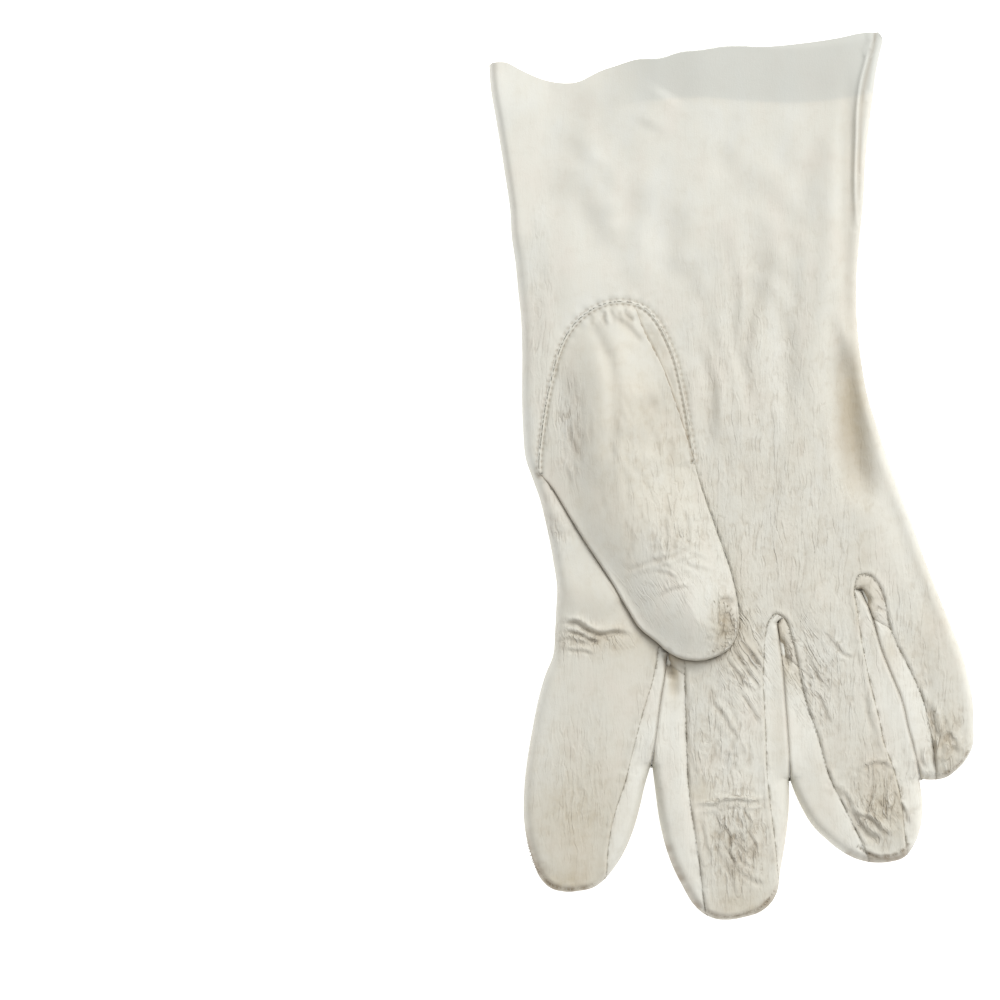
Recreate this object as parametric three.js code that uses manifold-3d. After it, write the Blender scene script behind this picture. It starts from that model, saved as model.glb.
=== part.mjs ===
import * as THREE from 'three';
import { mergeVertices } from 'three/addons/utils/BufferGeometryUtils.js';
import Module from 'manifold-3d';

// A lady's kidskin dress glove for the right hand. It lies on its back with the palm up, the cuff
// towards +Y, the fingers towards -Y and the thumb folded over the palm. The little finger is on the
// +X side. Lengths are in millimetres.

// Sizes of the hand
const handLength = 144;
const cuffWidth = 100.2;
const wristWidth = 85.7;
const knuckleWidth = 94.9;
const handHeight = 11.5;

// Sizes of the leather and its seams
const leather = 1.2;
const seamGap = 0.3;
const fingerGap = 0.6;
const hemDepth = 14;
const backSeamHeight = 1.7;
const quirkSeamHeight = 5;
const forkCover = 3;

// Sizes of the digits: how long, wide and high each one lies, and how it leans off the hand's line
const index = { length: 85.4, width: 32, height: 11.4, lean: -7.5 };
const middle = { length: 91.8, width: 34.7, height: 11.8, lean: 0.3 };
const ring = { length: 79.3, width: 32.2, height: 11.4, lean: 13 };
const little = { length: 62.5, width: 18, height: 10.5, lean: 13 };
const thumb = { length: 95.8, width: 39, rise: 9.6, lean: 11.7 };

// How high the folded edges lie, as shares of the height between a section's foot and its top, and
// how boxy its cushioned upper side is, from 0 for a box to 1 for an oval
const edgeHeight = 0.35;
const thumbEdgeHeight = 0.3;
const cushion = 0.8;

// How finely the skins are drawn
const stepsOverTop = 14;
const handStationsPerRow = 1.7;
const digitStationsPerRow = 1.1;

// Each row of a table as an object, with every value under the name of its column.
const table = (columns, ...rows) =>
  rows.map((row) => Object.fromEntries(columns.map((column, place) => [column, row[place]])));

// The hand's rows from the cuff to the forks: where the row's two ends lie along the hand, as shares
// of handLength from the forks, and across it, as shares of the width named in the row.
const handTable = table(
  ['leftAlong', 'left', 'rightAlong', 'right', 'height', 'width'],
  [1.04, -0.521, 1.09, 0.487, 0.95, cuffWidth],
  [0.97, -0.5115, 1.0, 0.473, 0.95, cuffWidth],
  [0.885, -0.494, 0.903, 0.455, 0.95, cuffWidth],
  [0.761, -0.463, 0.77, 0.44, 0.96, cuffWidth],
  [0.619, -0.515, 0.628, 0.497, 0.96, wristWidth],
  [0.513, -0.503, 0.513, 0.497, 0.97, wristWidth],
  [0.407, -0.5, 0.416, 0.524, 0.98, wristWidth],
  [0.31, -0.443, 0.319, 0.521, 1.0, knuckleWidth],
  [0.23, -0.411, 0.23, 0.57, 1.0, knuckleWidth],
  [0.124, -0.379, 0.181, 0.597, 1.0, knuckleWidth],
  [0.0, -0.368, 0.142, 0.603, 0.98, knuckleWidth],
  [-0.147, -0.382, 0.113, 0.603, 0.93, knuckleWidth],
);

// Where each digit starts, as shares of handLength and knuckleWidth.
index.root = { along: 0.106, across: -0.196 };
middle.root = { along: 0.106, across: 0.086 };
ring.root = { along: 0.106, across: 0.328 };
little.root = { along: 0.142, across: 0.524 };
thumb.root = { along: 0.573, across: -0.172 };

// A finger's rows from its root to its tip: shares of its length, of its width on each side of its
// line, and of its height.
const fingerColumns = ['along', 'left', 'right', 'height'];
index.table = table(
  fingerColumns,
  [0.0, -0.42, 0.4, 0.55],
  [0.12, -0.44, 0.5, 0.85],
  [0.25, -0.425, 0.505, 0.96],
  [0.4, -0.477, 0.488, 1.0],
  [0.55, -0.51, 0.48, 0.98],
  [0.7, -0.508, 0.451, 0.93],
  [0.82, -0.455, 0.385, 0.84],
  [0.9, -0.38, 0.31, 0.7],
  [0.95, -0.305, 0.225, 0.54],
  [0.985, -0.2, 0.1, 0.4],
  [1.0, -0.12, 0.03, 0.34],
);
middle.table = table(
  fingerColumns,
  [0.0, -0.3, 0.33, 0.6],
  [0.12, -0.335, 0.385, 0.85],
  [0.25, -0.39, 0.415, 0.96],
  [0.4, -0.466, 0.452, 1.0],
  [0.55, -0.513, 0.473, 0.98],
  [0.7, -0.48, 0.478, 0.93],
  [0.82, -0.405, 0.448, 0.84],
  [0.9, -0.32, 0.4, 0.7],
  [0.95, -0.225, 0.32, 0.54],
  [0.985, -0.12, 0.18, 0.4],
  [1.0, -0.05, 0.08, 0.34],
);
ring.table = table(
  fingerColumns,
  [0.0, -0.33, 0.31, 0.6],
  [0.12, -0.38, 0.355, 0.85],
  [0.25, -0.412, 0.373, 0.96],
  [0.4, -0.457, 0.404, 1.0],
  [0.55, -0.52, 0.433, 0.98],
  [0.7, -0.563, 0.438, 0.93],
  [0.82, -0.5, 0.43, 0.84],
  [0.9, -0.37, 0.39, 0.7],
  [0.95, -0.22, 0.31, 0.54],
  [0.985, -0.08, 0.2, 0.4],
  [1.0, 0.0, 0.12, 0.34],
);
little.table = table(
  fingerColumns,
  [0.0, -0.35, 0.33, 0.55],
  [0.12, -0.43, 0.43, 0.88],
  [0.25, -0.42, 0.49, 1.0],
  [0.4, -0.384, 0.553, 1.0],
  [0.55, -0.34, 0.635, 0.98],
  [0.7, -0.29, 0.69, 0.93],
  [0.82, -0.282, 0.63, 0.84],
  [0.9, -0.285, 0.5, 0.7],
  [0.95, -0.27, 0.33, 0.54],
  [0.985, -0.17, 0.17, 0.4],
  [1.0, -0.09, 0.08, 0.34],
);

// The thumb's rows from the top of its oval seam to its tip. The height is a share of how far it
// rises over the palm. The foot, how deep its skin starts, is a share of handHeight: the seam
// reaches into the palm's hole, and past it the thumb lies free on the palm.
thumb.table = table(
  ['along', 'left', 'right', 'height', 'foot'],
  [0.0, -0.17, 0.04, 0.14, 0.6],
  [0.022, -0.318, 0.1, 0.2, 0.6],
  [0.05, -0.435, 0.155, 0.3, 0.6],
  [0.1, -0.525, 0.198, 0.45, 0.6],
  [0.2, -0.64, 0.248, 0.66, 0.6],
  [0.3, -0.733, 0.237, 0.82, 0.6],
  [0.4, -0.785, 0.216, 0.92, 0.62],
  [0.5, -0.681, 0.216, 1.0, 0.84],
  [0.6, -0.585, 0.26, 1.0, 0.9],
  [0.7, -0.499, 0.294, 0.98, 0.94],
  [0.8, -0.413, 0.31, 0.93, 0.96],
  [0.87, -0.343, 0.3, 0.86, 0.97],
  [0.92, -0.268, 0.268, 0.74, 0.98],
  [0.96, -0.177, 0.212, 0.58, 1.0],
  [0.99, -0.07, 0.12, 0.42, 1.02],
);
const thumbHole = { from: 0.05, to: 0.46 };
const thumbHollow = { from: 0.4, to: 1 };

// Folds, dents and ridges of each skin's upper side, each along a line between two places given as
// shares of the skin's length and width. The breadth is in shares of the width, the depth in shares
// of the height: a ridge is positive and a dent negative.
const foldColumns = ['name', 'fromAlong', 'fromAcross', 'toAlong', 'toAcross', 'breadth', 'depth'];
const handFolds = table(
  foldColumns,
  ['wrist dent', 0.53, 0.42, 0.25, 0.45, 0.055, -0.3],
  ['cuff curl', 0.95, -0.375, 0.66, -0.455, 0.05, -0.16],
  ['cuff flare', 0.93, -0.49, 0.78, -0.48, 0.05, 0.22],
  ['side seam', 1.03, 0.475, 0.72, 0.44, 0.03, 0.1],
  ['side valley', 0.99, 0.43, 0.45, 0.405, 0.04, -0.1],
  ['side swell', 0.9, 0.37, 0.38, 0.32, 0.08, 0.07],
  ['heel valley', 0.24, 0.51, 0.11, 0.59, 0.05, -0.1],
  ['forefinger crease', 0.01, -0.36, -0.03, -0.17, 0.045, -0.2],
  ['forefinger swell', 0.045, -0.34, 0.035, -0.25, 0.08, 0.1],
  ['mouth dip', 0.97, -0.37, 0.93, -0.3, 0.06, -0.12],
  ['palm hollow', 0.4, 0.1, 0.15, 0.2, 0.16, -0.12],
);
index.folds = table(foldColumns, ['tip dent', 0.8, -0.1, 0.9, -0.05, 0.14, -0.06]);
middle.folds = table(
  foldColumns,
  ['joint crease', 0.658, -0.26, 0.66, 0.31, 0.09, -0.13],
  ['tip fold', 0.72, -0.02, 0.92, 0.19, 0.09, -0.1],
);
ring.folds = table(foldColumns, ['joint fold', 0.7, -0.32, 0.9, -0.06, 0.1, -0.13]);
little.folds = table(
  foldColumns,
  ['left furrow', 0.633, 0.074, 0.86, 0.037, 0.12, -0.14],
  ['right furrow', 0.8, 0.22, 0.92, 0.28, 0.12, -0.12],
);
thumb.folds = table(
  foldColumns,
  ['seam furrow', 0.186, -0.502, 0.429, -0.525, 0.09, -0.2],
  ['ball ridge', 0.1, -0.276, 0.461, -0.44, 0.08, 0.12],
  ['right valley', 0.28, -0.016, 0.44, -0.077, 0.1, -0.14],
  ['edge crease', 0.04, 0.02, 0.31, 0.182, 0.06, -0.16],
  ['tip pucker', 0.83, 0.1, 0.97, 0.16, 0.08, -0.12],
);

// The mouth's wavy edge from the thumb side to the little-finger side, as shares of cuffWidth and
// handLength.
const mouthTable = table(
  ['across', 'along'],
  [-0.575, 0.98],
  [-0.512, 0.98],
  [-0.471, 0.982],
  [-0.4, 0.96],
  [-0.361, 0.95],
  [-0.28, 0.95],
  [-0.229, 0.968],
  [-0.14, 0.988],
  [-0.025, 1.0],
  [0.076, 1.009],
  [0.204, 1.011],
  [0.382, 1.027],
  [0.458, 1.036],
  [0.56, 1.035],
);

// The seams that the strips between the fingers are sewn to, as shares of each finger's length and
// width. Each seam starts at the fork and its last row lies past the fingertip.
const seamColumns = ['along', 'across'];
index.rightSeam = table(
  seamColumns,
  [0.265, 0.423],
  [0.342, 0.401],
  [0.465, 0.348],
  [0.587, 0.311],
  [0.741, 0.244],
  [0.923, 0.212],
  [1.03, 0.2],
);
middle.leftSeam = table(
  seamColumns,
  [0.277, -0.327],
  [0.36, -0.286],
  [0.527, -0.272],
  [0.722, -0.23],
  [0.861, -0.176],
  [0.958, -0.146],
  [1.022, -0.205],
);
middle.rightSeam = table(
  seamColumns,
  [0.162, 0.365],
  [0.223, 0.313],
  [0.334, 0.289],
  [0.501, 0.309],
  [0.667, 0.329],
  [0.779, 0.379],
  [0.868, 0.502],
);
ring.leftSeam = table(
  seamColumns,
  [0.161, -0.327],
  [0.285, -0.3],
  [0.45, -0.305],
  [0.618, -0.27],
  [0.772, -0.211],
  [0.947, -0.108],
  [1.021, -0.093],
);
ring.rightSeam = table(
  seamColumns,
  [0.105, 0.306],
  [0.189, 0.258],
  [0.351, 0.223],
  [0.549, 0.222],
  [0.784, 0.262],
  [0.947, 0.25],
  [1.021, 0.257],
);
little.leftSeam = table(
  seamColumns,
  [0.139, -0.301],
  [0.236, -0.236],
  [0.405, -0.208],
  [0.584, -0.032],
  [0.755, 0.02],
  [0.901, 0.005],
  [1.035, -0.045],
);

// The small gussets: each hangs from the fork along the seam of the finger on its little-finger
// side. Its point lies on that seam and its shoulder on the fold between the fingers.
const quirkColumns = ['point', 'pointAcross', 'shoulder', 'shoulderAcross'];
middle.quirk = table(quirkColumns, [0.402, -0.285, 0.34, -0.372])[0];
ring.quirk = table(quirkColumns, [0.328, -0.308, 0.244, -0.391])[0];
little.quirk = table(quirkColumns, [0.339, -0.23, 0.246, -0.36])[0];

// Frames: places given in shares, in plan

// A place on the hand, with its width taken as a share of knuckleWidth unless another is named.
const onHand = (along, across, width = knuckleWidth) =>
  new THREE.Vector2(across * width, along * handLength);

// A digit's line starts at its root and leans off the hand's line towards the fingertips.
function lineOf(digit) {
  const lean = THREE.MathUtils.degToRad(digit.lean);
  return {
    root: onHand(digit.root.along, digit.root.across),
    ahead: new THREE.Vector2(Math.sin(lean), -Math.cos(lean)),
    aside: new THREE.Vector2(Math.cos(lean), Math.sin(lean)),
  };
}

function onDigit(digit, along, across) {
  const { root, ahead, aside } = lineOf(digit);
  return root.addScaledVector(ahead, along * digit.length).addScaledVector(aside, across * digit.width);
}

// Relief of a skin: how far its folds raise or sink a place in plan

const distanceToLine = (place, from, to) => {
  const line = to.clone().sub(from);
  const share = THREE.MathUtils.clamp(place.clone().sub(from).dot(line) / line.lengthSq(), 0, 1);
  return place.distanceTo(from.clone().addScaledVector(line, share));
};

function reliefOf(folds, placeAt, width, height) {
  const lines = folds.map((fold) => ({
    from: placeAt(fold.fromAlong, fold.fromAcross),
    to: placeAt(fold.toAlong, fold.toAcross),
    breadth: fold.breadth * width,
    depth: fold.depth * height,
  }));
  return (place) =>
    lines.reduce((sum, { from, to, breadth, depth }) => {
      const away = distanceToLine(place, from, to) / breadth;
      return sum + depth * Math.exp(-away * away);
    }, 0);
}

// Rows of numbers drawn as smooth curves and sampled evenly, several stations to a row.
function smoothRows(rows, stationsPerRow) {
  const names = Object.keys(rows[0]);
  const positions = rows.map((_, place) => place);
  const values = rows.flatMap((row) => names.map((name) => row[name]));
  const curve = new THREE.CubicInterpolant(positions, values, names.length);
  const count = Math.round((rows.length - 1) * stationsPerRow);
  return Array.from({ length: count + 1 }, (_, step) => {
    const sample = curve.evaluate((step / count) * (rows.length - 1));
    return Object.fromEntries(names.map((name, place) => [name, sample[place]]));
  });
}

// Stations: the two ends of a cross-section in plan, its foot, the height of its folded edges and
// its top. The inset moves the whole skin inwards, and a negative one outwards.

function handStations(inset) {
  const rows = handTable.map((row) => {
    const left = onHand(row.leftAlong, row.left, row.width);
    const right = onHand(row.rightAlong, row.right, row.width);
    return { leftX: left.x, leftY: left.y, rightX: right.x, rightY: right.y, top: row.height * handHeight };
  });
  return smoothRows(rows, handStationsPerRow).map((row) => {
    const left = new THREE.Vector2(row.leftX, row.leftY + inset);
    const right = new THREE.Vector2(row.rightX, row.rightY + inset);
    const aside = right.clone().sub(left).normalize();
    return {
      left: left.addScaledVector(aside, inset),
      right: right.addScaledVector(aside, -inset),
      foot: inset,
      edge: edgeHeight * row.top,
      top: row.top - inset,
    };
  });
}

function digitStations(digit, inset, heights) {
  const { root, ahead, aside } = lineOf(digit);
  const narrowing = inset + fingerGap / 2;
  return smoothRows(digit.table, digitStationsPerRow).map((row) => {
    const centre = root.clone().addScaledVector(ahead, row.along * (digit.length - inset));
    const reach = (share, side) => share * digit.width - side * narrowing;
    const { foot, edge, top } = heights(row);
    return {
      along: row.along,
      left: centre.clone().addScaledVector(aside, reach(row.left, -1)),
      right: centre.clone().addScaledVector(aside, reach(row.right, 1)),
      foot: foot + inset,
      edge,
      top: top - inset,
    };
  });
}

const fingerStations = (finger, inset) =>
  digitStations(finger, inset, (row) => {
    const top = row.height * finger.height;
    return { foot: 0, edge: edgeHeight * top, top };
  });

const thumbStations = (inset) =>
  digitStations(thumb, inset, (row) => {
    const foot = row.foot * handHeight;
    const top = handHeight + row.height * thumb.rise;
    return { foot, edge: foot + thumbEdgeHeight * (top - foot), top };
  });

// Sections: the upper side is a low cushion and the underside is flat between folded edges. Each
// corner is a share of the half width, and of the height between the foot and the edge.
const underside = [
  { across: -0.99, height: 0.6 },
  { across: -0.95, height: 0.22 },
  { across: -0.87, height: 0 },
  { across: 0.87, height: 0 },
  { across: 0.95, height: 0.22 },
  { across: 0.99, height: 0.6 },
];

function sectionOf({ left, right, foot, edge, top }, relief) {
  const place = (across) => left.clone().lerp(right, (1 + across) / 2);
  const over = Array.from({ length: stepsOverTop + 1 }, (_, step) => {
    const turn = (step / stepsOverTop) * Math.PI;
    const across = Math.sign(Math.cos(turn)) * Math.abs(Math.cos(turn)) ** cushion;
    const { x, y } = place(across);
    const rise = step % stepsOverTop === 0 ? 0 : Math.sin(turn) ** cushion;
    return new THREE.Vector3(x, y, edge + rise * (top + relief(new THREE.Vector2(x, y)) - edge));
  });
  const under = underside.map(({ across, height }) => {
    const { x, y } = place(across);
    return new THREE.Vector3(x, y, foot + height * (edge - foot));
  });
  return [...over, ...under];
}

// Solids

const wasm = await Module();
wasm.setup();

function solidFrom(geometry) {
  geometry.deleteAttribute('normal');
  geometry.deleteAttribute('uv');
  const merged = mergeVertices(geometry, 1e-4);
  const vertProperties = new Float32Array(merged.attributes.position.array);
  const triVerts = new Uint32Array(merged.index.array);
  return new wasm.Manifold(new wasm.Mesh({ numProp: 3, vertProperties, triVerts }));
}

// A closed skin through its sections, with a flat cap at both ends.
function loft(stations, relief) {
  const sections = stations.map((station) => sectionOf(station, relief));
  const around = sections[0].length;
  const points = sections.flat();
  const triangles = [];
  for (let row = 0; row + 1 < sections.length; row++) {
    for (let step = 0; step < around; step++) {
      const here = row * around + step;
      const beside = row * around + ((step + 1) % around);
      triangles.push(here, beside, here + around, beside, beside + around, here + around);
    }
  }
  for (const [row, towards] of [[0, -1], [sections.length - 1, 1]]) {
    const first = row * around;
    const centre = points.length;
    const sum = sections[row].reduce((total, point) => total.add(point), new THREE.Vector3());
    points.push(sum.divideScalar(around));
    for (let step = 0; step < around; step++) {
      const here = first + step;
      const beside = first + ((step + 1) % around);
      triangles.push(centre, towards > 0 ? here : beside, towards > 0 ? beside : here);
    }
  }
  return solidFrom(new THREE.BufferGeometry().setFromPoints(points).setIndex(triangles));
}

// An upright block on an outline in plan.
function block(outline, low, high) {
  const geometry = new THREE.ExtrudeGeometry(new THREE.Shape(outline), {
    depth: high - low,
    bevelEnabled: false,
  });
  return solidFrom(geometry.translate(0, 0, low));
}

const joined = (solids) => solids.reduce((all, solid) => all.add(solid));

const handRelief = reliefOf(handFolds, onHand, knuckleWidth, handHeight);
const reliefOn = (digit, height) =>
  reliefOf(digit.folds, (along, across) => onDigit(digit, along, across), digit.width, height);

const fingers = [index, middle, ring, little];
const handSkin = (inset) => loft(handStations(inset), handRelief);
const fingerSkin = (finger, inset) =>
  loft(fingerStations(finger, inset), reliefOn(finger, finger.height));
const wholeSkin = (inset) =>
  joined([handSkin(inset), ...fingers.map((finger) => fingerSkin(finger, inset))]);

const thumbRelief = reliefOn(thumb, thumb.rise);
const within = (stations, { from, to }) => stations.filter(({ along }) => along >= from && along <= to);
const thumbSkin = (inset, part) => loft(within(thumbStations(inset), part), thumbRelief);

// The mouth: everything past the wavy edge, and the band that the hem covers

const above = 4 * handHeight;
const beyond = 2 * handLength;
const mouthCurve = new THREE.SplineCurve(
  mouthTable.map(({ across, along }) => onHand(along, across, cuffWidth)),
);
const pastMouth = (back) => {
  const edge = mouthCurve.getPoints(2 * mouthTable.length).map(({ x, y }) => new THREE.Vector2(x, y - back));
  return block(
    [...edge, new THREE.Vector2(edge.at(-1).x, beyond), new THREE.Vector2(edge[0].x, beyond)],
    -above,
    above,
  );
};

// The trank's shell: one layer of leather, and two layers inside the hem.
const outerSkin = wholeSkin(0);
const onePly = wholeSkin(leather);
const twoPly = handSkin(2 * leather);
const hollow = onePly.subtract(pastMouth(hemDepth)).add(twoPly);
const shell = outerSkin.subtract(hollow).subtract(pastMouth(0));

// An outline drawn anticlockwise, with every side moved outwards by the distance.
function outset(outline, distance) {
  return outline.map((corner, place) => {
    const arriving = corner.clone().sub(outline.at(place - 1)).normalize();
    const leaving = outline[(place + 1) % outline.length].clone().sub(corner).normalize();
    const along = arriving.clone().add(leaving).normalize();
    const outwards = new THREE.Vector2(along.y, -along.x);
    return corner.clone().addScaledVector(outwards, distance / along.dot(arriving));
  });
}

const seamPlaces = (finger, rows) => rows.map(({ along, across }) => onDigit(finger, along, across));
const coverOf = (seam) => new THREE.Vector2(seam[0].x, seam[0].y + forkCover);

// The strips between the fingers run from one finger's seam round the fork to the next one's.
function stripZone(before, after, grow) {
  const left = seamPlaces(before, before.rightSeam);
  const right = seamPlaces(after, after.leftSeam);
  const outline = [coverOf(right), coverOf(left), ...left, ...right.reverse()];
  return block(outset(outline, grow), backSeamHeight - grow, above);
}

// The gussets take the strips' upper part round the fork and beside the next finger.
function quirkZone(before, after, grow) {
  const left = seamPlaces(before, before.rightSeam);
  const right = seamPlaces(after, after.leftSeam);
  const { point, pointAcross, shoulder, shoulderAcross } = after.quirk;
  const fold = onDigit(after, shoulder, shoulderAcross);
  const tip = onDigit(after, point, pointAcross);
  const past = (place, x, y) => new THREE.Vector2(place.x + x * forkCover, place.y + y * forkCover);
  const outline = [past(coverOf(left), 0, 1), fold, tip, past(tip, 1, 0), past(coverOf(right), 1, 1)];
  return block(outset(outline, grow), quirkSeamHeight - grow, above);
}

// Materials and meshes

const kidskin = (color, roughness) => new THREE.MeshStandardMaterial({ color, roughness, metalness: 0 });
const palmKid = kidskin(0xe0ddd3, 0.62);
const sideKid = kidskin(0xd9d6cb, 0.66);
const gussetKid = kidskin(0xd2cec2, 0.7);

function meshOf(name, solid, material) {
  const { vertProperties, triVerts } = solid.getMesh();
  const geometry = new THREE.BufferGeometry();
  geometry.setAttribute('position', new THREE.BufferAttribute(vertProperties, 3));
  geometry.setIndex(new THREE.BufferAttribute(triVerts, 1));
  geometry.computeVertexNormals();
  const mesh = new THREE.Mesh(geometry, material);
  mesh.name = name;
  return mesh;
}

const glove = new THREE.Group();

const thumbOpening = thumbSkin(leather, thumbHole);
const forks = [
  { name: 'index_middle', before: index, after: middle },
  { name: 'middle_ring', before: middle, after: ring },
  { name: 'ring_little', before: ring, after: little },
];
const allStrips = joined(forks.map(({ before, after }) => stripZone(before, after, seamGap)));
glove.add(meshOf('trank', shell.subtract(allStrips).subtract(thumbOpening), palmKid));

// The thumb rests on the palm and the fingers, one seam gap above them.
const bed = wholeSkin(-seamGap);
const bedUnderFloor = wholeSkin(-seamGap - leather);
const thumbInside = thumbSkin(leather, thumbHollow).subtract(bedUnderFloor).add(thumbOpening);
const thumbOutside = thumbSkin(0, { from: 0, to: 1 }).subtract(bed);
glove.add(meshOf('thumb', thumbOutside.subtract(thumbInside), palmKid));

for (const { name, before, after } of forks) {
  const strip = shell.intersect(stripZone(before, after, 0));
  const quirk = quirkZone(before, after, 0);
  const withoutQuirk = strip.subtract(quirkZone(before, after, seamGap));
  glove.add(meshOf('fourchette_' + name, withoutQuirk, sideKid));
  glove.add(meshOf('quirk_' + name, strip.intersect(quirk), gussetKid));
}

// The origin is on the floor, under the middle of the glove.
const bounds = new THREE.Box3().setFromObject(glove);
const middleOf = bounds.getCenter(new THREE.Vector3());
glove.position.set(-middleOf.x, -middleOf.y, -bounds.min.z);

export default glove;
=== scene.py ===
import math

import bpy
import numpy as np
from mathutils.geometry import delaunay_2d_cdt
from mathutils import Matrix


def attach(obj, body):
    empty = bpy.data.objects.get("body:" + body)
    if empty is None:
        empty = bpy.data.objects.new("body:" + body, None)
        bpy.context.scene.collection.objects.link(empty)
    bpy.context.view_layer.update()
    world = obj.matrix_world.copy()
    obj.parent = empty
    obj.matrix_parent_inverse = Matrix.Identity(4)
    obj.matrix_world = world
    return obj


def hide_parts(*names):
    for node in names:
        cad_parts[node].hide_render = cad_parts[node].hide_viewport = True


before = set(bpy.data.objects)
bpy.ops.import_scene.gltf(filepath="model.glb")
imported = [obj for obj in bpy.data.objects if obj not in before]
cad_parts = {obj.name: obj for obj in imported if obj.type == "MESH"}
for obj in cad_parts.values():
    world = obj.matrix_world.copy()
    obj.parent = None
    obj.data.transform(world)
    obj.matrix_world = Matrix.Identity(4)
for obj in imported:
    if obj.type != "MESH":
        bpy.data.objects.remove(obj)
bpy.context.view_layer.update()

# Sizes in millimetres

PIXEL = 0.255
MIDDLE = (730.28, 477.5)
LEATHER = 0.9
HEM_LEATHER = 1.9
HEM_DEPTH = 14.0
EDGE_HEIGHT = 3.7
SIDE_RADIUS = 2.2
CREVICE_RADIUS = 0.95
TOUCH_HEIGHT = 9.3
FORK_HEIGHT = 8.4
CREVICE_WIDTH = 0.05
UNDER_RADIUS = 4.0
BACK_SEAM_INSET = 2.3
BACK_SEAM_RUN = 9.0
THUMB_RISE = 7.0
THUMB_GAP = 0.35
SEAM_DEPTH = 0.3
SEAM_BREADTH = 0.28
SEAM_LIP = 0.32
SEAM_STEP = 0.24
HEM_RISE = 2.6
WELT_HALF = 0.62
WELT_PUCKERS = 64
OUTLINE_STEP = 0.8
FINE_SPACING = 0.5
PLAIN_SPACING = 1.0
THUMB_SPACING = 0.5
COARSE_SPACING = 2.6
EDGE_ROWS = (0.12, 0.4, 0.85, 1.4, 2.1, 2.9)
SEAM_ROWS = (0.2, 0.45, 0.8, 1.3)
BACK_EDGE_ROWS = (0.25, 1.0, 2.4)
BACK_SEAM_ROWS = (0.5,)
THUMB_EDGE_ROWS = (0.12, 0.4, 0.62, 0.9, 1.4, 2.1, 2.9)
THUMB_FOLD_ROWS = (0.15, 0.4, 0.8)
THUMB_UNDER_ROWS = (0.3, 1.0, 2.0)
CURL_RADIUS = 2.0
CURL_SLOPE = 0.34
THUMB_PRESS = 1.5
SEED = 7

# Outlines of the glove as photo pixels, from the cuff down the forefinger side and back up

forefinger_side = [
    (489, 66), (491, 90), (496, 120), (501, 150), (505, 175), (510, 210), (512, 240), (515, 260),
    (518, 290), (521, 320), (522, 350), (522, 400), (523, 430), (526, 460), (533, 480), (540, 500),
    (545, 520), (553, 560), (557, 590), (556, 610), (555, 630), (553, 655), (545, 675), (538, 700),
    (532, 730), (527, 760), (524, 790), (524, 820), (527, 840), (533, 860), (540, 877), (550, 887),
    (565, 891), (580, 890), (593, 887), (603, 880), (612, 870), (622, 855), (633, 830), (640, 805),
    (645, 783), (650, 766),
]
middle_side = [
    (652, 766), (655, 790), (659, 820), (665, 845), (672, 865), (682, 885), (692, 902), (702, 912),
    (715, 918), (728, 919), (745, 916), (760, 911), (770, 903), (776, 893), (780, 870), (785, 840),
    (788, 812), (788.5, 779),
]
ring_side = [
    (789.5, 779), (793, 789), (800, 805), (812, 825), (825, 838), (840, 850), (858, 859), (875, 862),
    (890, 861), (903, 857), (913, 845), (919, 830), (922, 810), (921, 795), (918.5, 779),
]
little_side = [
    (919.5, 778), (925, 779), (935, 779), (945, 777), (955, 770), (966, 758), (972, 745), (973, 725),
    (972, 700), (967, 675), (960, 650), (950, 625), (940, 600), (930, 575), (920, 548), (910, 520),
    (900, 495), (893, 475), (884, 450), (876, 425), (868, 400), (862, 370), (858, 340), (856, 310),
    (856, 280), (859, 240), (863, 200), (865, 160), (868, 130), (872, 100), (875, 75), (880, 50), (882, 43),
]
cuff_edge = [
    (877, 36), (870, 35), (858, 36), (840, 40), (800, 46), (770, 49), (720, 50), (700, 53),
    (680, 55), (660, 61), (635, 62), (615, 68), (600, 73), (590, 78), (580, 83), (548, 83),
    (533, 78), (520, 72), (505, 65),
]

# Crevices between the fingers, from the fingertips up to the fork

crevices = {
    "index_middle": [(651, 764), (656, 727), (660, 697), (664, 675), (668, 650)],
    "middle_ring": [(789, 777), (787, 740), (784, 700), (781, 660), (776, 622)],
    "ring_little": [
        (919, 777), (912, 748), (907, 730), (900, 700), (890, 675), (880, 650), (870, 615), (860, 589),
    ],
}

# Seams of the strips between the fingers: tip of one finger, round the fork, tip of the next

fork_seams = {
    "index_middle": [
        (606, 877), (608, 845), (615, 810), (625, 780), (630, 760), (635, 740), (640, 720), (646, 700),
        (652, 680), (656, 660), (659, 645), (667, 638), (677, 643), (683, 657), (684, 680), (685, 720),
        (686, 750), (688, 790), (692, 820), (697, 850), (700, 875), (703, 900), (706, 915),
    ],
    "middle_ring": [
        (778, 880), (774, 840), (769, 800), (766, 770), (765, 740), (763, 700), (762, 680), (763, 655),
        (764, 638), (767, 622), (775, 613), (783, 618), (790, 635), (795, 655), (800, 680), (806, 705),
        (815, 730), (822, 755), (830, 780), (840, 800), (850, 820), (860, 841), (869, 861),
    ],
    "ring_little": [
        (906, 855), (903, 830), (900, 800), (892, 768), (882, 740), (878, 720), (873, 700), (868, 680),
        (864, 660), (860, 640), (856, 610), (853, 588), (857, 575), (866, 574), (875, 582), (883, 600),
        (887, 622), (895, 643), (908, 669), (921, 698), (928, 728), (932, 750), (935, 779),
    ],
}

# Gussets: shoulder on the crevice and point on the next finger's seam

gussets = {
    "index_middle": ((667, 664), (684, 674)),
    "middle_ring": ((782, 654), (796, 666)),
    "ring_little": ((872, 618), (888, 628)),
}

# The thumb: seam round its hole, hidden edge of the hole, and the edge of the part that lies free

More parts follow.
